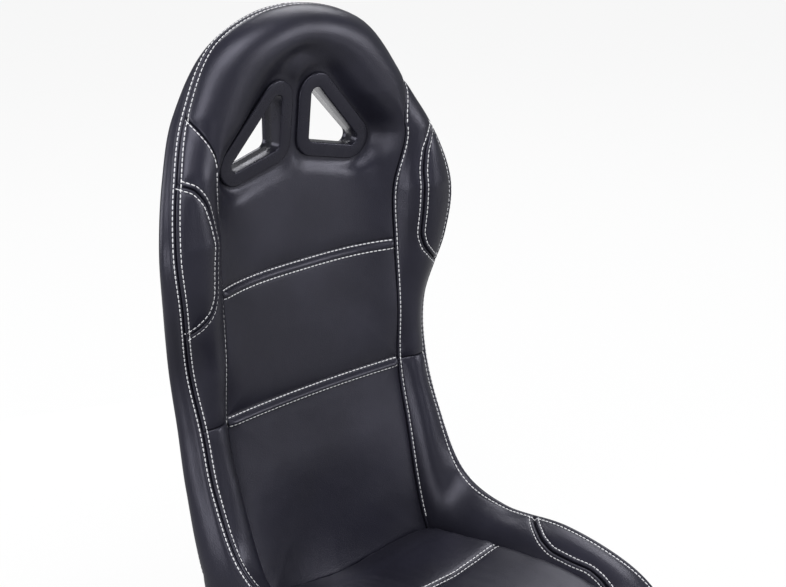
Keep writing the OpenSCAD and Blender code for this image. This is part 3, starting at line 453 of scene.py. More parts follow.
def tube_faces(m, n, closed=False):
    """Faces of m rings of n points: capped at both ends, or closed into a loop of rings."""
    faces = [[i * n + j, i * n + (j + 1) % n, (i + 1) % m * n + (j + 1) % n, (i + 1) % m * n + j]
             for i in range(m if closed else m - 1) for j in range(n)]
    return faces if closed else faces + [list(range(n))[::-1], [(m - 1) * n + j for j in range(n)]]


def joined(parts):
    """The points and faces of several meshes as one."""
    points, faces = [], []
    for part_points, part_faces in parts:
        faces += [[k + len(points) for k in face] for face in part_faces]
        points += [Vector(p) for p in part_points]
    return points, faces


def rework(piece, job):
    work = bmesh.new()
    work.from_mesh(piece.data)
    job(work)
    work.to_mesh(piece.data)
    work.free()


def weld(piece):
    rework(piece, lambda work: bmesh.ops.remove_doubles(work, verts=work.verts, dist=WELD_REACH))


def tidy_normals(piece):
    rework(piece, lambda work: bmesh.ops.recalc_face_normals(work, faces=work.faces))


def add_depth(piece, nearest):
    """Keeps how near each point is to a seam, for the finish's roughness and painted shade: 1 in a valley and
    0 on open leather.
    """
    share = np.exp(-nearest.ravel() / SHADE_REACH).astype(np.float32)
    piece.data.attributes.new("seam_near", "FLOAT", "POINT").data.foreach_set("value", share)


def cover_piece(name, points, nearest, replaces, fan=False):
    """A closed cover from a grid of points. A fan has its first row closed up on the centre line."""
    if fan:
        points[0, :, 0] = 0
    faces = grid_faces(*points.shape[:2])
    piece = mesh_object(name, points, faces)
    skins.append((points.reshape(-1, 3), faces))
    add_depth(piece, nearest)
    if fan:
        weld(piece)
    shell = piece.modifiers.new("backing", "SOLIDIFY")
    shell.thickness = COVER_T
    shell.offset = -1
    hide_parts(*replaces)
    return piece


def sewn_panel(name, names, s_ends, u_from, u_to, crown=0.0, cell=4 * MM):
    u, s = grid_between(front, s_ends, u_from, u_to, cell)
    points, nearest = sewn(front(u, s), front_normal(u, s), names, crown=crown)
    return cover_piece(name, points, nearest, [name])


def level(value):
    return lambda s: np.full_like(s, value)


print("a cover is", COVER_T / MM, "mm thick, with", len(EDGE_STEPS), "columns beside each seam")

# %% [markdown]
# The middle panels, the shoulders and the thighs come from that one function. Each names the seams round
# it and the lines it runs between; left and right are made by a loop, with the sign of u turned round.

# %% Centre and wing panels
PATCH_GAP = 0.005        # a patch starts this far inside its corner, in stations
WING_SPAN = (WING_PATCH[0][0] + PATCH_GAP, WING_PATCH[-1][0] - PATCH_GAP)
THIGH_SPAN = (THIGH_PATCH[0][0] + PATCH_GAP, S_NOSE)
covers = {}
for name, s_ends, names in (
        ("mid_panel", (S_UPPER, S_WAIST), ["upper", "lower", "inner_left", "inner_right"]),
        ("lumbar_panel", (S_WAIST, S_TUCK), ["lower", "tuck", "inner_left", "inner_right"])):
    covers[name] = sewn_panel(name, names, s_ends, level(-1.0), level(1.0), CROWN)


def wing_lines(half, near, far):
    """Boundary lines in the right order for a panel on the left (1) or the right (-1)."""
    a, b = (near, far) if half > 0 else (far, near)
    return (lambda s: half * a(s)), (lambda s: half * b(s))


def neck_line(s):
    """The edge down to the neck, then the neck seam, then the inner seam."""
    return smooth_pick(NECK, s)


def wing_line(s):
    """The edge, with the wing patch's seam where there is one."""
    return smooth_pick(WING_PATCH, s)


def thigh_line(s):
    return smooth_pick(THIGH_PATCH, s)


for half, word in ((1, "left"), (-1, "right")):
    for name, s_ends, near, far, kinds in (
            ("shoulder_panel", (2.01, S_WAIST), neck_line, wing_line, "edge neck inner wing waist"),
            ("shoulder_patch", WING_SPAN, wing_line, level(2.0), "edge wing"),
            ("bolster_panel", (S_WAIST, S_NOSE), level(1.0), thigh_line, "edge inner waist thigh"),
            ("thigh_patch", THIGH_SPAN, thigh_line, level(2.0), "edge thigh")):
        full = f"{name}_{word}"
        names = [f"{kind}_{word}" for kind in kinds.split()]
        covers[full] = sewn_panel(full, names, s_ends, *wing_lines(half, near, far))
print(len(covers), "panels,", sum(len(p.data.vertices) for p in covers.values()), "points")

# %% [markdown]
# The head panel wraps over the padded roll and sinks round the two harness bezels. Near a bezel the
# leather may not stand above the flange's underside, and further out it swells again, so a soft trough
# runs round each flange. The slots themselves are cut right through with a Boolean.

# %% Head panel
SLOT = np.array([(36, 834), (105, 757), (36, 773)]) * MM   # centres of the slot's corner arcs, x and z
BEZEL_AT = np.array([36, 322, 773]) * MM
BEZEL_YAW = math.radians(3.5)
BEZEL_TILT = math.radians(7)
SLOT_R, FLANGE_W, FLANGE_T, COLLAR_T = 9 * MM, 21 * MM, 4 * MM, 2.5 * MM
SLOT_DEPTH = 32 * MM
FLANGE_R = SLOT_R + FLANGE_W
PLAY = 0.4 * MM         # between the leather and the flange or the collar
CUT_R = SLOT_R + COLLAR_T + PLAY
SINK_REACH = 13 * MM


def to_bezel(points):
    """Across, up and out of the slot, for points on the left half."""
    d = points - BEZEL_AT
    across = d[..., 0] * math.cos(BEZEL_YAW) - d[..., 1] * math.sin(BEZEL_YAW)
    depth = d[..., 0] * math.sin(BEZEL_YAW) + d[..., 1] * math.cos(BEZEL_YAW)
    return across + BEZEL_AT[0], d[..., 2] + BEZEL_AT[2], -depth


def slot_distance(across, up):
    """Distance from the triangle of the slot's corner centres; 0 inside it."""
    p = np.stack([across, up], -1)
    best = np.full(across.shape, np.inf)
    inside = np.ones(across.shape, bool)
    for a, b in zip(SLOT, np.roll(SLOT, -1, 0)):
        edge = b - a
        t = np.clip(np.sum((p - a) * edge, -1) / (edge @ edge), 0, 1)
        best = np.minimum(best, np.linalg.norm(p - a - t[..., None] * edge, axis=-1))
        inside &= (edge[0] * (p[..., 1] - a[1]) - edge[1] * (p[..., 0] - a[0])) < 0
    return np.where(inside, 0, best)


def sink_under_bezels(points, below=0.0):
    """Presses the leather, or foam that far below it, back under each flange, and eases it out beyond."""
    for half in (1, -1):
        across, up, out = to_bezel(points * (half, 1, 1))
        gap = slot_distance(across, up) - FLANGE_R
        proud = np.maximum(out - (up - BEZEL_AT[2]) * math.tan(BEZEL_TILT) + PLAY + below, 0)
        points[..., 1] += proud * np.exp(-(np.maximum(gap, 0) / SINK_REACH) ** 2) * math.cos(BEZEL_YAW)
    return points


def rounded_outline(radius, arc_steps=10, line_steps=14):
    """A rounded triangle round the slot's corner centres, with as many points at any radius."""
    points = []
    count = len(SLOT)
    for i in range(count):
        before, here, after = SLOT[i - 1], SLOT[i], SLOT[(i + 1) % count]
        sides = (here - before, after - here)
        out = [np.array([-side[1], side[0]]) / np.linalg.norm(side) for side in sides]
        start, end = (math.atan2(o[1], o[0]) for o in out)
        turn = (start - end) % (2 * math.pi)
        for k in range(arc_steps):
            angle = start - turn * k / (arc_steps - 1)
            points.append(here + radius * np.array([math.cos(angle), math.sin(angle)]))
        first, last = here + radius * out[1], after + radius * out[1]
        points += [mixed(first, last, k / line_steps) for k in range(1, line_steps)]
    return np.array(points)


def from_bezel(across, up, out, half):
    """Back from the bezel's own axes to the seat's."""
    across = across - BEZEL_AT[0]
    x = across * math.cos(BEZEL_YAW) - out * math.sin(BEZEL_YAW)
    y = -across * math.sin(BEZEL_YAW) - out * math.cos(BEZEL_YAW)
    return np.stack([(x + BEZEL_AT[0]) * half, y + BEZEL_AT[1], np.broadcast_to(up, x.shape)], -1)


def swept_ring(name, profile, half):
    """Sweeps rows of (radius, out, share of the flange's tilt) round the slot, as a closed ring."""
    rings = []
    for radius, out, follows in profile:
        line = rounded_outline(radius)
        tilt = (line[:, 1] - BEZEL_AT[2]) * math.tan(BEZEL_TILT) * follows
        rings.append(from_bezel(line[:, 0], line[:, 1], tilt + out, half))
    faces = tube_faces(len(rings), len(rings[0]), closed=True)
    return mesh_object(name, np.array(rings), [face[::half] for face in faces])


u, s = grid_between(front, (0.0, S_UPPER), lambda s: -neck_line(s), neck_line, 3.6 * MM)
head_names = [f"{k}_{word}" for k in ("edge", "neck", "inner") for word in ("left", "right")] + ["upper"]
points, nearest = sewn(front(u, s), front_normal(u, s), head_names)
covers["head_panel"] = cover_piece("head_panel", sink_under_bezels(points), nearest, ["head_panel"], fan=True)


def cut_slots(piece, radius, reach):
    """Cuts a prism of the slot's outline through a piece on both sides, between two distances outwards."""
    for half in (1, -1):
        line = rounded_outline(radius)
        ends = [from_bezel(line[:, 0], line[:, 1], out, half) for out in reach]
        cutter = mesh_object("slot_cutter", np.array(ends), tube_faces(2, len(line)), smooth=False)
        tidy_normals(cutter)
        cut = piece.modifiers.new("slot", "BOOLEAN")
        cut.operation = "DIFFERENCE"
        cut.object = cutter
        cut.solver = "EXACT"
        bpy.context.view_layer.objects.active = piece
        for modifier in list(piece.modifiers):
            bpy.ops.object.modifier_apply(modifier=modifier.name)
        bpy.data.objects.remove(cutter)


cut_slots(covers["head_panel"], CUT_R, (-60 * MM, 60 * MM))
print("head panel", len(covers["head_panel"].data.vertices), "points")

# %% [markdown]
# The side band is one strip that runs from one thigh over the crown to the other. Making it in one
# piece keeps the shading whole across the top. The rear cover closes the back from band to band.

# %% Side band and rear cover
BAND_CELL = 4.5 * MM
BAND_STRETCH = 1.6       # its cells are so much longer across than along
fine = np.linspace(0, S_NOSE, 500)
run = run_of(front(2.0, fine))
half_rows = np.interp(np.linspace(0, run[-1], int(run[-1] / BAND_CELL)), run, fine)
rows = np.concatenate([-half_rows[:0:-1], half_rows])
share = np.linspace(0, 1, 120)
runs = [run_of(outer(share, s)) for s in rows]
columns = int(max(r[-1] for r in runs) / BAND_CELL / BAND_STRETCH)
v = np.array([np.interp(spaced(r[-1], columns), r, share) for r in runs])
s = np.repeat(rows[:, None], v.shape[1], 1)
band_names = ["band_left", "band_right", "rear_left", "rear_right"]
points, nearest = sewn(outer(v, s), outer_normal(v, s), band_names, puff=3 * MM)
covers["side_band"] = cover_piece("side_band", points, nearest, ["side_panel_left", "side_panel_right"])


REAR_EASE = 25 * MM      # round each slot the rear cover is drawn in to the collar's depth


def across_back(a, s, of=outer):
    """a runs from 1 at the left corner over 3 in the middle to 5 at the right corner."""
    left = of(np.minimum(a, 3), s)
    right = of(np.minimum(6 - a, 3), s) * (-1, 1, 1)
    return np.where((a <= 3)[..., None], left, right)


a, s = grid_between(across_back, (0.0, S_HIP), level(1.0), level(5.0), 5.5 * MM)
normals = unit(across_back(a, s, outer_normal))
points, nearest = sewn(across_back(a, s), normals, ["rear_left", "rear_right"], puff=2 * MM)
for half in (1, -1):
    across, up, out = to_bezel(points * (half, 1, 1))
    ease = smooth_step(np.clip((slot_distance(across, up) - FLANGE_R) / REAR_EASE, 0, 1))
    points[..., 1] = mixed(BEZEL_AT[1] + SLOT_DEPTH, points[..., 1], ease)
covers["rear_cover"] = cover_piece("rear_cover", points, nearest, ["rear_cover"], fan=True)
COLLAR_PLAY = 0.3 * MM   # between the two collars, one inside the other
REAR_CUT_R = CUT_R + COLLAR_T + COLLAR_PLAY
cut_slots(covers["rear_cover"], REAR_CUT_R, (-120 * MM, -5 * MM))
print("band and rear cover", len(covers["side_band"].data.vertices), len(covers["rear_cover"].data.vertices))

# %% [markdown]
# The harness bezels are injection moulded: a flat flange with a small radius on both rims and a collar
# that reaches into the seat. Sweeping one profile round a rounded triangle gives real edge radii, which
# catch the light as thin lines. The flange leans with the head pad while the collar runs straight back.

# %% Bezels
def rounded_rim(r_flat, r_side, top, radius, follows, steps=5):
    """The quarter round between a flange's face and its rim, as (radius, out, follows) rows."""
    sign = 1 if r_side > r_flat else -1
    centre = (r_side - sign * radius, top - radius)
    return [(centre[0] + sign * radius * math.sin(a), centre[1] + radius * math.cos(a), follows)
            for a in np.linspace(0, math.pi / 2, steps)]


INNER_RIM_R, OUTER_RIM_R = 2 * MM, 2.8 * MM
COLLAR_END, REAR_COLLAR_START = 8 * MM - SLOT_DEPTH, -14 * MM    # the two collars overlap between these
COLLAR_R, REAR_R = SLOT_R + COLLAR_T, SLOT_R + COLLAR_T + COLLAR_PLAY
REAR_RIM, REAR_BACK = REAR_R + 13 * MM, -SLOT_DEPTH - 3 * MM
FRONT_PROFILE = (rounded_rim(FLANGE_R - 3 * MM, SLOT_R, FLANGE_T, INNER_RIM_R, 1)
                 + [(SLOT_R, -4 * MM, 0.6), (SLOT_R, -10 * MM, 0), (SLOT_R, COLLAR_END, 0),
                    (COLLAR_R, COLLAR_END, 0), (COLLAR_R, -10 * MM, 0), (COLLAR_R, -4 * MM, 0.6),
                    (COLLAR_R + 0.5 * MM, 0, 1), (FLANGE_R - 1.5 * MM, 0, 1), (FLANGE_R, 0.8 * MM, 1)]
                 + rounded_rim(SLOT_R, FLANGE_R, FLANGE_T, OUTER_RIM_R, 1)[::-1])
REAR_PROFILE = [(REAR_R, REAR_COLLAR_START, 0), (REAR_R, -SLOT_DEPTH, 0), (REAR_R, REAR_BACK + 1 * MM, 0),
                (REAR_R + 0.4 * MM, REAR_BACK + 0.3 * MM, 0), (REAR_R + 1.2 * MM, REAR_BACK, 0),
                (REAR_RIM - 1.4 * MM, REAR_BACK, 0), (REAR_RIM - 0.4 * MM, REAR_BACK + 0.4 * MM, 0),
                (REAR_RIM, REAR_BACK + 1.4 * MM, 0), (REAR_RIM, -SLOT_DEPTH, 0),
                (REAR_R + COLLAR_T, -SLOT_DEPTH, 0), (REAR_R + COLLAR_T, REAR_COLLAR_START, 0)]
bezels = []
for half, word in ((1, "left"), (-1, "right")):
    for name, profile in (("bezel_front_", FRONT_PROFILE[::-1]), ("bezel_rear_", REAR_PROFILE)):
        piece = swept_ring(name + word, profile, half)
        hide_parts(name + word)
        bezels.append(piece)
print(len(bezels), "bezels,", len(bezels[0].data.vertices), "points each")

# %% [markdown]
# The seat cushion is a loose pad with two sewn covers and stuffing between them. A drawn shape looks
# stiff, so a cloth simulation does the last few millimetres: the drawn pad is remeshed evenly, its seams
# and underside are pinned, and a little pressure inflates it for twenty frames. No point may travel more
# than a cap. The fine grid is then laid onto the inflated one, and the stitched seam is pressed in.
# CUSHION holds its sections in millimetres: y, half width, lift of the underside, and height of the top.

# %% Seat cushion
CUSHION = [(229, 60, 35, 139), (223, 100, 31, 142), (213, 130, 26, 146), (202, 146, 19, 150),
           (185, 150, 12, 155), (145, 151, 5, 162), (105, 151, 1, 169), (72, 151, 0, 175), (58, 150, 0, 174),
           (44, 151, 0, 177), (0, 151, 0, 183), (-50, 151, 0, 187), (-110, 151, 0, 185), (-165, 149, 0, 179),
           (-205, 145, 0, 166), (-232, 139, 6, 147), (-246, 125, 16, 132)]
CUSHION_BASE, DISH, CUSHION_HALF = 100.4, 20, 151
CROSS_SEAM_Y = 58 * MM
CUSHION_ROW = 4.6 * MM
CUSHION_VALLEY, CUSHION_VALLEY_W = 2.4 * MM, 1.3 * MM
CUSHION_SWELL, SWELL_FROM, SWELL_TO = 1.2 * MM, 9 * MM, 38 * MM    # on both sides of the seam
CAP_BULGE = 7 * MM
CAP_RINGS = (0.9, 0.72, 0.5, 0.25, 0.02)


def cushion_section(w, low, top):
    side = top + DISH * w / CUSHION_HALF
    seam = mixed(low, side, 0.72)
    return [(0, top), (0.35 * w, mixed(top, side, 0.24)), (0.65 * w, mixed(top, side, 0.58)),
            (0.86 * w, mixed(top, side, 0.88)), (0.95 * w, side - 1), (0.985 * w, side - 5), (w, seam),
            (0.965 * w, mixed(low, seam, 0.4)), (0.9 * w, low + 2), (0.82 * w, low), (0, low)]


def closed_spline(points, steps):
    """A smooth closed line through the points, evenly spaced."""
    p = np.array(points, float)
    t = np.linspace(0, len(p), 40 * len(p), endpoint=False)
    i = t.astype(int)
    fine = spline(*[p[(i + k - 1) % len(p)] for k in range(4)], (t - i)[:, None])
    run = run_of(np.vstack([fine, fine[:1]]))
    even = np.linspace(0, run[-1], steps, endpoint=False)
    return np.stack([np.interp(even, run, np.append(fine[:, k], fine[0, k])) for k in range(p.shape[1])], -1)


def cushion_ring(y, w, lift, top, steps=150):
    half = cushion_section(w, CUSHION_BASE + lift, top)
    loop = half + [(-x, z) for x, z in half[-2:0:-1]]
    flat = closed_spline(loop, steps)
    return np.stack([flat[:, 0], np.full(steps, y), flat[:, 1]], -1) * MM


def cushion_grid(spacing):
    table = np.array(CUSHION, float)
    t = np.linspace(0, len(table) - 1, 800)
    i = np.minimum(t.astype(int), len(table) - 2)
    pad = np.vstack([2 * table[0] - table[1], table, 2 * table[-1] - table[-2]])
    fine = spline(*[pad[i + k] for k in range(4)], (t - i)[:, None])
    run = run_of(fine[:, [0, 3]])
    even = np.interp(np.linspace(0, run[-1], int(run[-1] / spacing)), run, t)
    rows = [np.array([np.interp(e, t, fine[:, k]) for k in range(4)]) for e in even]
    rings = [cushion_ring(*row) for row in rows]
    caps = []
    for ring, way in ((rings[0], 1), (rings[-1], -1)):
        centre = ring.mean(0)
        caps.append([mixed(centre, ring, f) + (0, way * CAP_BULGE * (1 - f), 0) for f in CAP_RINGS])
    return np.array(caps[0][::-1] + rings + caps[1])


SIM_VOXEL = 6 * MM
SIM_FRAMES = 20
SIM_PRESSURE = 4
SIM_CAP = 4 * MM


def inflate(source, pinned):
    """Blows up a closed pad a little with Cloth, and gives back its points and faces."""
    pad = mesh_object("inflating", [v.co for v in source.data.vertices],
                      [list(p.vertices) for p in source.data.polygons])
    remesh = pad.modifiers.new("even", "REMESH")
    remesh.mode = "VOXEL"
    remesh.voxel_size = SIM_VOXEL
    bpy.context.view_layer.objects.active = pad
    bpy.ops.object.modifier_apply(modifier=remesh.name)
    rest = np.array([v.co for v in pad.data.vertices])
    group = pad.vertex_groups.new(name="sewn")
    group.add([int(i) for i in np.nonzero(pinned(rest))[0]], 1.0, "REPLACE")
    cloth = pad.modifiers.new("cloth", "CLOTH")
    cloth.settings.use_pressure = True
    cloth.settings.uniform_pressure_force = SIM_PRESSURE
    cloth.settings.effector_weights.gravity = 0
    cloth.settings.vertex_group_mass = group.name
    cloth.settings.quality = 5
    cloth.point_cache.frame_start = 1
    cloth.point_cache.frame_end = SIM_FRAMES
    scene = bpy.context.scene
    for f in range(1, SIM_FRAMES + 1):
        scene.frame_set(f)
    view = pad.evaluated_get(bpy.context.evaluated_depsgraph_get())
    moved = np.array([v.co for v in view.data.vertices])
    faces = [list(p.vertices) for p in pad.data.polygons]
    bpy.data.objects.remove(pad)
    scene.frame_set(1)
    step = moved - rest
    size = np.linalg.norm(step, axis=1, keepdims=True)
    return rest + step * np.minimum(1, SIM_CAP / np.maximum(size, 1e-9)), faces


def cushion_pins(rest):
    """The underside, the cross seam on top, and the edge all round stay where they are drawn."""
    table = np.array(CUSHION, float)[::-1] * MM
    half_width = np.interp(rest[:, 1], table[:, 0], table[:, 1])
    top = np.interp(rest[:, 1], table[:, 0], table[:, 3])
    under = rest[:, 2] < top - 12 * MM
    cross = np.abs(rest[:, 1] - CROSS_SEAM_Y) < 6 * MM
    edge = np.abs(rest[:, 0]) > half_width - 22 * MM
    ends = (rest[:, 1] > 170 * MM) | (rest[:, 1] < -200 * MM)
    return under | cross | edge | ends


grid = cushion_grid(3.6)
cushion = mesh_object("seat_cushion", grid, tube_faces(*grid.shape[:2]))
soft_points, soft_faces = inflate(cushion, cushion_pins)
tree = BVHTree.FromPolygons([Vector(p) for p in soft_points], soft_faces)
laid = [tree.find_nearest(Vector(p))[0] for p in grid.reshape(-1, 3)]
grid = np.array(laid).reshape(grid.shape)
print("cushion inflated by up to", round(SIM_CAP / MM, 1), "mm from", len(soft_faces), "faces")
on_top = grid[..., 2] > grid[..., 2].mean(1, keepdims=True)
gap = np.abs(grid[..., 1] - CROSS_SEAM_Y)
press = CUSHION_VALLEY * np.exp(-(gap / CUSHION_VALLEY_W) ** 2)
press -= CUSHION_SWELL * (1 - np.exp(-gap / SWELL_FROM)) * np.exp(-(gap / SWELL_TO) ** 2)
for row in (-CUSHION_ROW, CUSHION_ROW):
    press += PINCH * np.exp(-((grid[..., 1] - CROSS_SEAM_Y - row) / PINCH_WIDTH) ** 2)
grid[..., 2] -= np.where(on_top, press, 0)
cushion.data.vertices.foreach_set("co", grid.astype(np.float32).ravel())
cushion.data.update()
add_depth(cushion, np.where(on_top, gap, NO_SEAM))
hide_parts("seat_cushion")
cushion_skin = (grid.reshape(-1, 3), grid_faces(*grid.shape[:2]))
covers["seat_cushion"] = cushion

# %% [markdown]
# Under the covers lie two moulded foam pads. Each has the surface's own shape on its upper side, a few
# millimetres down, and is trimmed behind to stay clear of the side tubes and to rest on the straps. The
# back pad sinks with the leather round the bezels, and the slots go through it too.

# %% Foam pads
TUBE_X, TUBE_R = 178 * MM, 11 * MM
STRAP_GAP, STRAP_T, STRAP_W = 0.2 * MM, 1.5 * MM, 40 * MM
BASE_Z = 72 * MM
RECLINE = math.radians(5)
BACK_LINE = (294 * MM, 330 * MM)
PAD_CLEAR = 0.3 * MM
FOAM_SKIN, HEAD_SLACK, BOLSTER_SLACK = 4.4 * MM, 2.9 * MM, 1.1 * MM
FOAM_BELOW = 4.5 * MM    # the foam lies so far under the leather round the bezels
FOAM_CENTRE, FOAM_BOLSTER = 11 * MM, 20 * MM
FOAM_FLOOR = BASE_Z + TUBE_R + STRAP_GAP + STRAP_T + PAD_CLEAR
WELL_EDGE = 0.9


def tube_y(z):
    return BACK_LINE[0] + (z - BACK_LINE[1]) * math.tan(RECLINE)


def foam_face(u, s):
    """The side towards the sitter: a little under the cover, and more under the head roll and bolsters."""
    slack = HEAD_SLACK * np.clip((3.2 - s) / 0.3, 0, 1)
    slack = np.maximum(slack, BOLSTER_SLACK * np.clip((np.abs(u) - 1) / 0.05, 0, 1))
    return front(u, s) - front_normal(u, s) * (FOAM_SKIN + slack)[..., None]


def bolster_depth(u):
    return mixed(FOAM_BOLSTER, FOAM_CENTRE, np.maximum(np.abs(u) - 1.2, 0) / 0.8)


def back_side(u, s):
    """The rear of the back foam, trimmed to stay clear of the side tubes and the straps round them."""
    spine = plan("spine", s)
    room = tube_y(spine[..., 2]) + TUBE_R - spine[..., 1] - FOAM_SKIN
    centre = np.where(s < 3, FOAM_CENTRE, np.clip(room, FOAM_CENTRE, 30 * MM))
    depth = mixed(centre, bolster_depth(u), np.clip((np.abs(u) - 0.85) / 0.3, 0, 1))
    p = front(u, s) - front_normal(u, s) * (FOAM_SKIN + depth)[..., None]
    hook = np.where(np.abs(u) < 1, 0, STRAP_GAP + STRAP_T + PAD_CLEAR)
    limit = tube_y(p[..., 2]) - TUBE_R - PAD_CLEAR - hook
    p[..., 1] = np.where((np.abs(u) >= 0.9) & (s >= 2.5), np.minimum(p[..., 1], limit), p[..., 1])
    return p


def seat_top(u, s):
    """Level between the bolsters, where the cushion lies."""
    p = foam_face(u, s)
    level_z = foam_face(np.zeros_like(u), s)[..., 2]
    p[..., 2] = np.where(np.abs(u) <= WELL_EDGE, level_z, p[..., 2])
    return p


def seat_underside(u, s):
    p = front(u, s) - front_normal(u, s) * (FOAM_SKIN + bolster_depth(u))[..., None]
    top = seat_top(u, s)
    inside = (np.abs(u) < WELL_EDGE)[..., None]
    p = np.where(inside, top, p)
    p[..., 2] = np.where(np.abs(u) < WELL_EDGE, FOAM_FLOOR, np.maximum(p[..., 2], FOAM_FLOOR))
    return p


def closed_pad(name, face, back, replaces):
    """A closed solid between two grids of the same size."""
    m, n = face.shape[:2]
    size = m * n
    rim = (list(range(n)) + [i * n + n - 1 for i in range(1, m)]
           + [(m - 1) * n + j for j in range(n - 2, -1, -1)] + [i * n for i in range(m - 2, 0, -1)])
    faces = grid_faces(m, n) + [f[::-1] for f in grid_faces(m, n, size)]
    faces += [[a, b, b + size, a + size] for a, b in zip(rim, rim[1:] + rim[:1])]
    piece = mesh_object(name, np.concatenate([face, back]), faces)
    tidy_normals(piece)
    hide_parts(replaces)
    return piece


FOAM_EDGE = 1.92
u, s = np.meshgrid(np.linspace(-FOAM_EDGE, FOAM_EDGE, 97), np.linspace(0.03, S_HIP - 0.01, 130))
face = sink_under_bezels(foam_face(u, s), FOAM_BELOW)
back_pad = closed_pad("back_pad", face, back_side(u, s), "back_foam")
cut_slots(back_pad, REAR_CUT_R, (-120 * MM, 60 * MM))
u, s = np.meshgrid(np.linspace(-FOAM_EDGE, FOAM_EDGE, 97), np.linspace(S_HIP + 0.08, S_NOSE - 0.08, 80))
pads = [back_pad, closed_pad("seat_pad", seat_top(u, s), seat_underside(u, s), "seat_foam")]
print("pads", [len(p.data.vertices) for p in pads])

# %% [markdown]
# The front of the seat is closed by a low apron of the same leather. It hangs from the bolsters' noses
# and bellies out a little, so that it hides the ends of the foam. The elastic straps under the pads are
# swept bands that wrap half round each side tube.

# %% Front apron and straps
APRON_BULGE, APRON_RISE = 5 * MM, 8 * MM
APRON_MIDDLE, APRON_CORNER = -1 * MM, 4.5 * MM    # how far its lower edge stands back from the nose


def apron(u, t):
    """u runs across the seat, and t from the nose down to the foam's floor."""
    edge = front(u, S_NOSE)
    top = edge + unit(edge - front(u, S_NOSE - 0.05)) * 0.5 * MM
    low = edge.copy()
    low[..., 1] += mixed(APRON_MIDDLE, APRON_CORNER, np.minimum(np.abs(u), 1) ** 3)
    low[..., 2] = FOAM_FLOOR - MM + APRON_RISE * np.maximum(np.abs(u) - 1, 0) ** 2
    p = mixed(top, low, t[..., None])
    p[..., 1] -= APRON_BULGE * np.sin(np.pi * t)
    return p


u, t = np.meshgrid(np.linspace(-1.97, 1.97, 120), np.linspace(0, 1, 14))
covers["front_apron"] = cover_piece("front_apron", apron(u, t), np.full(u.shape, NO_SEAM), ["front_apron"])


def strap_points():
    """The strap's path across: round one tube, straight over, round the other; x, then towards the foam."""
    r = TUBE_R + STRAP_GAP
    left = [(TUBE_X + r * math.sin(a), -r * math.cos(a)) for a in np.linspace(0, math.pi, 15)]
    return np.array(left + [(-x, y) for x, y in left[::-1]])


def strap_band(place):
    """place(x, away, along) puts a strap's local point in the seat."""
    path = strap_points()
    ahead = unit(np.gradient(path, axis=0))
    out = np.stack([ahead[:, 1], -ahead[:, 0]], -1) * -1
    lips = [(-1, 0.15), (-0.97, 0), (0.97, 0), (1, 0.15), (1, 0.85), (0.97, 1), (-0.97, 1), (-1, 0.85)]
    rings = [[place(*(p + o * STRAP_T * depth), side * STRAP_W / 2) for side, depth in lips]
             for p, o in zip(path, out)]
    return np.array(rings).reshape(-1, 3), tube_faces(len(rings), len(lips))


def strap_set(name, places):
    points, faces = joined([strap_band(place) for place in places])
    piece = mesh_object(name + "_bands", points, faces, smooth=False)
    tidy_normals(piece)
    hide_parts(name)
    return piece


def back_place(z):
    """Places a strap at one height of the back, leaning with the tubes."""
    cos, sin = math.cos(RECLINE), math.sin(RECLINE)
    return lambda x, away, along: np.array([x, cos * away + sin * along + tube_y(z),
                                            cos * along - sin * away + z])


def seat_place(y):
    return lambda x, away, along: np.array([x, y - along, BASE_Z + away])


straps = [strap_set("back_straps", [back_place(z * MM) for z in (210, 320, 410, 500, 590)]),
          strap_set("seat_straps", [seat_place(y * MM) for y in (-171, -75, 0, 75, 171)])]
print("straps", [len(p.data.vertices) for p in straps])

# %% [markdown]
# Contrast stitching is what the eye reads first on this seat, so every stitch is real geometry: a short,
# slightly bowed thread. A row is found by walking along its seam, stepping sideways, and dropping a ray
# onto the covers. Stitches are then set out at an even pitch along the line that the rays found. The
# cushion has a search tree of its own, so that no stitch of the bolsters beside it can land on it.

# %% Stitching
PITCH = 7 * MM
STITCH = 5.8 * MM
THREAD_R = 0.7 * MM
THREAD_W = 1.15          # a pressed thread is so much wider than it is high
DROP = 20 * MM           # rays start this far out, and reach as far in
INNER_LAST = 0.96        # the inner rows end where the cushion covers the seam
shell_tree = BVHTree.FromPolygons(*joined(skins))
cushion_tree = BVHTree.FromPolygons(*joined([cushion_skin]))


def row_line(points, normals, tree):
    """Points dropped onto the covers along their normals, with the covers' own normals there."""
    found, facing = [], []
    for p, n in zip(points, normals):
        n = Vector(n)
        hit, face_n, _, _ = tree.ray_cast(Vector(p) + n * DROP, -n, 2 * DROP)
        if hit is not None:
            found.append(hit)
            facing.append(face_n if face_n.dot(n) > 0 else -face_n)
    return np.array(found), np.array(facing)


def thread_template():
    """One stitch along x: rings of six points, thin where it dips into the leather, bowed up between."""
    half_stitch = ((0.5, 0.35, -0.5), (0.42, 0.8, -0.12), (0.2, 1, 0.3))
    rows = [(-x, r, z) for x, r, z in half_stitch] + list(half_stitch[::-1])
    rings = [[(x * STITCH, r * THREAD_R * THREAD_W * math.cos(a), THREAD_R * (z + 0.8 * r * math.sin(a)))
              for a in np.arange(6) * math.pi / 3] for x, r, z in rows]
    return np.array(rings).reshape(-1, 3), tube_faces(len(rings), 6)


TEMPLATE, TEMPLATE_FACES = thread_template()


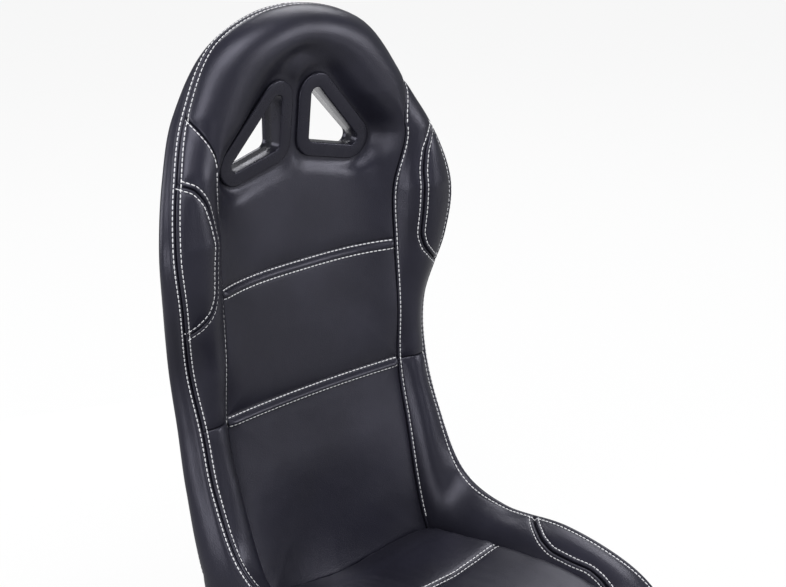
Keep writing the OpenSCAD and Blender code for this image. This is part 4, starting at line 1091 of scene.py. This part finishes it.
def stitches_on(points, facing):
    """Corner points of every stitch along one row."""
    run = run_of(points)
    keep = np.concatenate([[True], np.diff(run) > 1e-7])
    run, points, facing = run[keep], points[keep], facing[keep]
    starts = np.arange(0.4 * PITCH, run[-1] - STITCH, PITCH)
    ends = np.array([[np.interp(starts + off, run, points[:, k]) for k in range(3)] for off in (0, STITCH)])
    up = unit(np.array([np.interp(starts + STITCH / 2, run, facing[:, k]) for k in range(3)]).T)
    a, b = ends[0].T, ends[1].T
    ahead = unit(b - a)
    side = unit(np.cross(up, ahead))
    middle = (a + b) / 2
    return (middle[:, None] + TEMPLATE[None, :, :1] * ahead[:, None] + TEMPLATE[None, :, 1:2] * side[:, None]
            + TEMPLATE[None, :, 2:] * np.cross(ahead, side)[:, None])


def stitch_rows(name, rows, tree=shell_tree):
    found = [stitches_on(*row_line(points, normals, tree)) for points, normals in rows]
    made = np.vstack(found)
    faces = [[k + i * len(TEMPLATE) for k in face] for i in range(len(made)) for face in TEMPLATE_FACES]
    piece = mesh_object(name, made, faces)
    print(name, len(made), "stitches")
    return piece


def seam_rows(name, last=1.0):
    seam = seams[name]
    n = int(last * len(seam["points"]))
    return [((seam["points"] + seam["side"] * row)[:n], seam["normals"][:n]) for row in seam["rows"]]


def cross_rows(station):
    """The rows above and below a cross seam, from one inner seam to the other."""
    u = np.linspace(-0.999, 0.999, 400)
    step = front(0.0, station + SLOPE_STEP) - front(0.0, station - SLOPE_STEP)
    places = station + np.array(CROSS_ROWS) * 2 * SLOPE_STEP / np.linalg.norm(step)
    return [(front(u, s), front_normal(u, s)) for s in places]


threads = []
for word in ("left", "right"):
    edge_rows = seam_rows("edge_" + word) + seam_rows("band_" + word)
    threads.append(stitch_rows("edge_stitching_" + word, edge_rows))
    panel_rows = seam_rows("inner_" + word, INNER_LAST)
    for kind in ("neck_", "wing_", "thigh_"):
        panel_rows += seam_rows(kind + word)
    threads.append(stitch_rows("panel_stitching_" + word, panel_rows))
    threads.append(stitch_rows("rear_stitching_" + word, seam_rows("rear_" + word)))
threads.append(stitch_rows("cross_stitching", cross_rows(S_UPPER) + cross_rows(S_WAIST)))
above = np.linspace((-0.146, CROSS_SEAM_Y, 0.2), (0.146, CROSS_SEAM_Y, 0.2), 300)
cushion_rows = [(above + (0, row, 0), np.tile((0, 0, 1.0), (300, 1))) for row in (-CUSHION_ROW, CUSHION_ROW)]
threads.append(stitch_rows("cushion_stitching", cushion_rows, cushion_tree))

# %% [markdown]
# Finishes share a few effects, so those are node groups: the pebble of synthetic leather, a woven band,
# and the brushed or cast unevenness of metal and plastic. A group only gives out heights, masks and
# colours. Each material keeps its own Principled shader, with its constant values set on its sockets.

# %% Shared node groups
def new_group(name, inputs, outputs):
    group = bpy.data.node_groups.new(name, "ShaderNodeTree")
    for label, kind, value in inputs:
        socket = group.interface.new_socket(label, in_out="INPUT", socket_type=kind)
        if value is not None:
            socket.default_value = value
    for label, kind in outputs:
        group.interface.new_socket(label, in_out="OUTPUT", socket_type=kind)
    return group, group.nodes.new("NodeGroupInput"), group.nodes.new("NodeGroupOutput")


def add(tree, kind, **settings):
    node = tree.nodes.new(kind)
    for key, value in settings.items():
        if key in node.inputs:
            node.inputs[key].default_value = value
        else:
            setattr(node, key, value)
    return node


def math_node(tree, operation, a, b):
    node = tree.nodes.new("ShaderNodeMath")
    node.operation = operation
    for i, value in enumerate((a, b)):
        if hasattr(value, "is_output"):
            tree.links.new(value, node.inputs[i])
        else:
            node.inputs[i].default_value = value
    return node.outputs[0]


def object_noise(tree, coords, scale, detail=2.0):
    node = add(tree, "ShaderNodeTexNoise", Detail=detail)
    tree.links.new(coords, node.inputs["Vector"])
    if hasattr(scale, "is_output"):
        tree.links.new(scale, node.inputs["Scale"])
    else:
        node.inputs["Scale"].default_value = scale
    return node.outputs["Fac"]


def leather_group():
    """Pebbles about a millimetre across, with finer pores, and broad patches that were rubbed smoother."""
    group, given, out = new_group("leather_grain", [("Pebbles per metre", "NodeSocketFloat", 850.0)],
                                  [("Height", "NodeSocketFloat"), ("Rubbed", "NodeSocketFloat"),
                                   ("Creases", "NodeSocketFloat")])
    coords = group.nodes.new("ShaderNodeTexCoord").outputs["Object"]
    cells = add(group, "ShaderNodeTexVoronoi", feature="SMOOTH_F1", Smoothness=0.35, Randomness=0.9)
    group.links.new(coords, cells.inputs["Vector"])
    group.links.new(given.outputs[0], cells.inputs["Scale"])
    fine = math_node(group, "MULTIPLY", given.outputs[0], 2.6)
    pores = object_noise(group, coords, fine, 3.0)
    height = math_node(group, "SUBTRACT", math_node(group, "MULTIPLY", pores, 0.35),
                       math_node(group, "MULTIPLY", cells.outputs["Distance"], 0.8))
    group.links.new(height, out.inputs["Height"])
    group.links.new(object_noise(group, coords, 9.0, 4.0), out.inputs["Rubbed"])
    group.links.new(object_noise(group, coords, 55.0, 5.0), out.inputs["Creases"])
    return group


def weave_group():
    """Ribs of a woven elastic band: a wave along one axis broken by a wave along the other."""
    group, given, out = new_group("band_weave", [("Ribs per metre", "NodeSocketFloat", 900.0)],
                                  [("Height", "NodeSocketFloat")])
    coords = group.nodes.new("ShaderNodeTexCoord").outputs["Object"]
    heights = []
    for direction in ("X", "Z"):
        wave = add(group, "ShaderNodeTexWave", wave_type="BANDS", bands_direction=direction, Distortion=0.3)
        group.links.new(coords, wave.inputs["Vector"])
        group.links.new(given.outputs[0], wave.inputs["Scale"])
        heights.append(wave.outputs["Fac"])
    group.links.new(math_node(group, "MULTIPLY", *heights), out.inputs["Height"])
    return group


def surface_group():
    """The slight orange peel of paint, the texture of a mould, or the scuffs of handled metal."""
    group, given, out = new_group("fine_surface", [("Speckles per metre", "NodeSocketFloat", 600.0)],
                                  [("Height", "NodeSocketFloat"), ("Scuffs", "NodeSocketFloat")])
    coords = group.nodes.new("ShaderNodeTexCoord").outputs["Object"]
    group.links.new(object_noise(group, coords, given.outputs[0], 3.0), out.inputs["Height"])
    group.links.new(object_noise(group, coords, 24.0, 6.0), out.inputs["Scuffs"])
    return group


LEATHER_GRAIN, BAND_WEAVE, FINE_SURFACE = leather_group(), weave_group(), surface_group()
print("groups:", [g.name for g in bpy.data.node_groups])

# %% [markdown]
# The leather is a polyurethane coat on cloth. Its colour is nearly black and barely changes; what makes
# it read as leather is the sheen. So roughness carries the story: rubbed patches are smoother, valleys
# beside the seams are duller because the coat is creased there, and their colour is darkened as painted
# shade, along with the dust they gather.

# %% Materials
def new_material(name):
    made = bpy.data.materials.new(name)
    made.use_nodes = True
    return made, made.node_tree, made.node_tree.nodes["Principled BSDF"]


def placed(tree, group, value):
    node = tree.nodes.new("ShaderNodeGroup")
    node.node_tree = group
    node.inputs[0].default_value = value
    return node


def ramp(tree, factor, low, high, start=0.3, end=0.7):
    """A value that changes smoothly from low to high as the factor goes from start to end."""
    node = add(tree, "ShaderNodeMapRange", interpolation_type="SMOOTHSTEP")
    tree.links.new(factor, node.inputs["Value"])
    for key, value in (("From Min", start), ("From Max", end), ("To Min", low), ("To Max", high)):
        node.inputs[key].default_value = value
    return node.outputs["Result"]


def colour_mix(tree, factor, low, high):
    node = tree.nodes.new("ShaderNodeMix")
    node.data_type = "RGBA"
    tree.links.new(factor, node.inputs["Factor"])
    for socket, value in ((node.inputs["A"], low), (node.inputs["B"], high)):
        if hasattr(value, "is_output"):
            tree.links.new(value, socket)
        else:
            socket.default_value = (*value, 1)
    return node.outputs["Result"]


def bumped(tree, shader, height, distance, strength):
    bump = add(tree, "ShaderNodeBump", Distance=distance, Strength=strength)
    tree.links.new(height, bump.inputs["Height"])
    tree.links.new(bump.outputs["Normal"], shader.inputs["Normal"])


COATING_TINT = (0.85, 0.84, 1.0, 1)
PEBBLES = 700.0          # per metre


def leather(name, deep, open_colour, gloss):
    """Coated cloth: deep and open_colour are its darkest and lightest own tone, gloss its mean roughness. In
    the seam valleys the colour is darkened further as painted shade, together with dust.
    """
    made, tree, shader = new_material(name)
    grain = placed(tree, LEATHER_GRAIN, PEBBLES)
    near = add(tree, "ShaderNodeAttribute", attribute_name="seam_near").outputs["Fac"]
    base = colour_mix(tree, ramp(tree, grain.outputs["Rubbed"], 0, 1), deep, open_colour)
    # painted shade: the colour turns towards half the deep tone in the seam valleys, for their shade and
    # their dust
    dust_and_shade = colour_mix(tree, ramp(tree, near, 0, 0.4, 0.3, 1.0), base, tuple(c * 0.5 for c in deep))
    tree.links.new(dust_and_shade, shader.inputs["Base Color"])
    rubbed = ramp(tree, grain.outputs["Rubbed"], gloss + 0.05, gloss - 0.05)
    rough = math_node(tree, "ADD", rubbed, math_node(tree, "MULTIPLY", near, 0.08))
    tree.links.new(rough, shader.inputs["Roughness"])
    creases = math_node(tree, "MULTIPLY", grain.outputs["Creases"], 1.2)
    height = math_node(tree, "ADD", grain.outputs["Height"], creases)
    shader.inputs["Specular Tint"].default_value = COATING_TINT
    bumped(tree, shader, height, 0.0003, 0.55)
    return made


def plain_finish(name, colour, roughness, metallic=0.0, speckles=600.0, depth=0.00005, scuff=0.06, wear=0.15,
                 tint=(1, 1, 1, 1)):
    """Paint, plating or moulded plastic: one colour, with scuffs in its gloss and a fine relief."""
    made, tree, shader = new_material(name)
    fine = placed(tree, FINE_SURFACE, speckles)
    worn = tuple(min(1.0, c * (1 + wear) + 0.004) for c in colour)
    tree.links.new(colour_mix(tree, ramp(tree, fine.outputs["Scuffs"], 0, 1, 0.4, 0.75), colour, worn),
                   shader.inputs["Base Color"])
    tree.links.new(ramp(tree, fine.outputs["Scuffs"], roughness + scuff, roughness - scuff),
                   shader.inputs["Roughness"])
    shader.inputs["Metallic"].default_value = metallic
    shader.inputs["Specular Tint"].default_value = tint
    bumped(tree, shader, fine.outputs["Height"], depth, 0.5)
    return made


def thread_finish():
    """Bonded polyester thread: pale, a little fuzzy, with a fine even relief in place of its twist."""
    made, tree, shader = new_material("thread")
    fine = placed(tree, FINE_SURFACE, 2400.0)
    tree.links.new(colour_mix(tree, fine.outputs["Height"], (0.74, 0.74, 0.77), (0.92, 0.92, 0.94)),
                   shader.inputs["Base Color"])
    shader.inputs["Roughness"].default_value = 0.7
    bumped(tree, shader, fine.outputs["Height"], 0.0002, 0.5)
    return made


def band_finish():
    made, tree, shader = new_material("webbing")
    weave = placed(tree, BAND_WEAVE, 900.0)
    tree.links.new(colour_mix(tree, weave.outputs["Height"], (0.008, 0.008, 0.009), (0.035, 0.035, 0.038)),
                   shader.inputs["Base Color"])
    shader.inputs["Roughness"].default_value = 0.8
    bumped(tree, shader, weave.outputs["Height"], 0.0004, 0.6)
    return made


finishes = {
    "cover": leather("leather", (0.0112, 0.011, 0.0175), (0.0178, 0.0175, 0.0275), 0.33),
    "patch_cover": leather("leather_patch", (0.012, 0.0118, 0.0185), (0.0185, 0.0182, 0.0285), 0.35),
    "foam": plain_finish("foam", (0.24, 0.24, 0.22), 0.95, speckles=1400.0, depth=0.0008, scuff=0.02),
    "frame_paint": plain_finish("frame_paint", (0.012, 0.012, 0.013), 0.4, speckles=420.0, depth=0.0001),
    "webbing": band_finish(),
    "bezel_plastic": plain_finish("bezel_plastic", (0.0105, 0.0102, 0.016), 0.27, speckles=1500.0,
                                  depth=0.00003, tint=(0.8, 0.79, 1, 1)),
    "rail_steel": plain_finish("rail_steel", (0.42, 0.43, 0.45), 0.38, 1.0, speckles=900.0, wear=0.2),
    "fastener_steel": plain_finish("fastener_steel", (0.52, 0.53, 0.56), 0.3, 1.0, speckles=1200.0),
    "cage_plastic": plain_finish("cage_plastic", (0.62, 0.58, 0.48), 0.5, speckles=800.0),
    "ball_steel": plain_finish("ball_steel", (0.6, 0.61, 0.63), 0.12, 1.0, speckles=400.0, depth=0.00001,
                               scuff=0.03),
    "bar_paint": plain_finish("bar_paint", (0.012, 0.012, 0.013), 0.38, speckles=420.0, depth=0.0001),
    "grip_rubber": plain_finish("grip_rubber", (0.014, 0.014, 0.014), 0.85, speckles=1600.0, depth=0.0005),
}
thread = thread_finish()
slot_of = {row["node"]: row["material_slot"] for row in frame["record"]["subparts"]}


def dress(piece, slot):
    piece.data.materials.clear()
    piece.data.materials.append(finishes[slot])
    return piece


for name, node in nodes.items():
    if not node.hide_render:
        dress(node, slot_of[name])
for name, piece in covers.items():
    slot = "patch_cover" if "patch" in name else "cover"
    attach(dress(piece, slot), "seat")
for pieces, slot in ((bezels, "bezel_plastic"), (pads, "foam"), (straps, "webbing")):
    for piece in pieces:
        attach(dress(piece, slot), "seat")
for piece in threads:
    piece.data.materials.append(thread)
    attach(piece, "seat")
print(len(finishes) + 1, "finishes")

# %% [markdown]
# The studio is plain: a pale floor, an even pale world, and a ring of soft lamps. The floor shows
# the camera a nearly white ground but keeps the seat's shadow. Its glow is weak in reflections, and
# lights nothing else. Each lamp has a name, a place, its two sizes, its watts and the point it faces.

# %% Studio
FLOOR_SIZE = 14.0
FLOOR_DROP = 0.5 * MM
FLOOR_GLOW, SEEN_SHARE, MIRRORED_SHARE = 1.25, 0.72, 0.11
WORLD_LIGHT = 0.235
HEAD, HEART = (0, 0.3, 0.9), (0, 0.1, 0.5)
LAMPS = [
    ("top", (-0.4, -0.9, 3.3), (2.0, 1.2), 44, HEAD),
    ("key", (-2.5, -0.6, 3.0), (1.8, 1.8), 44, HEART),
    ("fill", (2.6, -2.3, 1.9), (1.5, 1.2), 41, HEART),
    ("sweep", (1.6, -2.3, 0.3), (1.6, 0.4), 3.5, (0, 0.3, 0.5)),
    ("back", (2.2, 1.4, 3.2), (1.8, 1.6), 40, HEAD),
    ("side", (-2.4, 2.3, 1.3), (1.8, 1.8), 36, HEART),
    ("low", (-2.6, -0.9, 0.4), (1.2, 0.8), 14, (-0.2, 0.3, 0.4)),
    ("front", (-0.4, -2.7, 1.1), (1.0, 0.6), 3.6, (0.2, 0.2, 0.25)),
    ("slots", (0.45, 1.25, 0.12), (0.7, 0.5), 1.3, (0.05, 0.35, 0.8)),
    ("sills", (0.85, 2.6, 2.3), (0.8, 0.6), 9, (-0.1, 0.33, 0.78)),
]


def soft_lamp(name, place, size, watts, target):
    data = bpy.data.lights.new(name, "AREA")
    data.shape = "RECTANGLE"
    data.size, data.size_y = size
    data.energy = watts
    lamp = bpy.data.objects.new(name, data)
    lamp.location = place
    bpy.context.scene.collection.objects.link(lamp)
    lamp.rotation_mode = "QUATERNION"
    lamp.rotation_quaternion = (Vector(target) - lamp.location).to_track_quat("-Z", "Y")
    return lamp


def blended(tree, share, first, second, output):
    """Mixes two shaders by a share, and joins the result to the output node."""
    blend = tree.nodes.new("ShaderNodeMixShader")
    for socket, value in zip(blend.inputs, (share, first, second)):
        tree.links.new(value, socket)
    tree.links.new(blend.outputs[0], tree.nodes[output].inputs["Surface"])


corner = FLOOR_SIZE / 2
floor = mesh_object("floor", [(-corner, -corner, -FLOOR_DROP), (corner, -corner, -FLOOR_DROP),
                              (corner, corner, -FLOOR_DROP), (-corner, corner, -FLOOR_DROP)], [[0, 1, 2, 3]])
made, tree, shader = new_material("pale_floor")
shader.inputs["Base Color"].default_value = (0.3, 0.3, 0.3, 1)
shader.inputs["Roughness"].default_value = 0.9
glow = add(tree, "ShaderNodeEmission", Strength=FLOOR_GLOW)
seen = tree.nodes.new("ShaderNodeLightPath")
share = math_node(tree, "MAXIMUM", math_node(tree, "MULTIPLY", seen.outputs["Is Camera Ray"], SEEN_SHARE),
                  math_node(tree, "MULTIPLY", seen.outputs["Is Glossy Ray"], MIRRORED_SHARE))
blended(tree, share, shader.outputs[0], glow.outputs[0], "Material Output")
floor.data.materials.append(made)

world = bpy.data.worlds.new("studio")
bpy.context.scene.world = world
world.use_nodes = True
tree = world.node_tree
sky = tree.nodes["Background"]
sky.inputs["Color"].default_value = (0.95, 0.97, 1.0, 1)
sky.inputs["Strength"].default_value = WORLD_LIGHT
bright = add(tree, "ShaderNodeBackground", Strength=1.0)
seen = tree.nodes.new("ShaderNodeLightPath")
blended(tree, seen.outputs["Is Camera Ray"], sky.outputs[0], bright.outputs[0], "World Output")

lamps = {row[0]: soft_lamp(*row) for row in LAMPS}
lamps["slots"].visible_camera = False    # it stands just behind the seat
bpy.context.scene.view_settings.view_transform = "Standard"
print("studio ready,", len(lamps), "lamps")
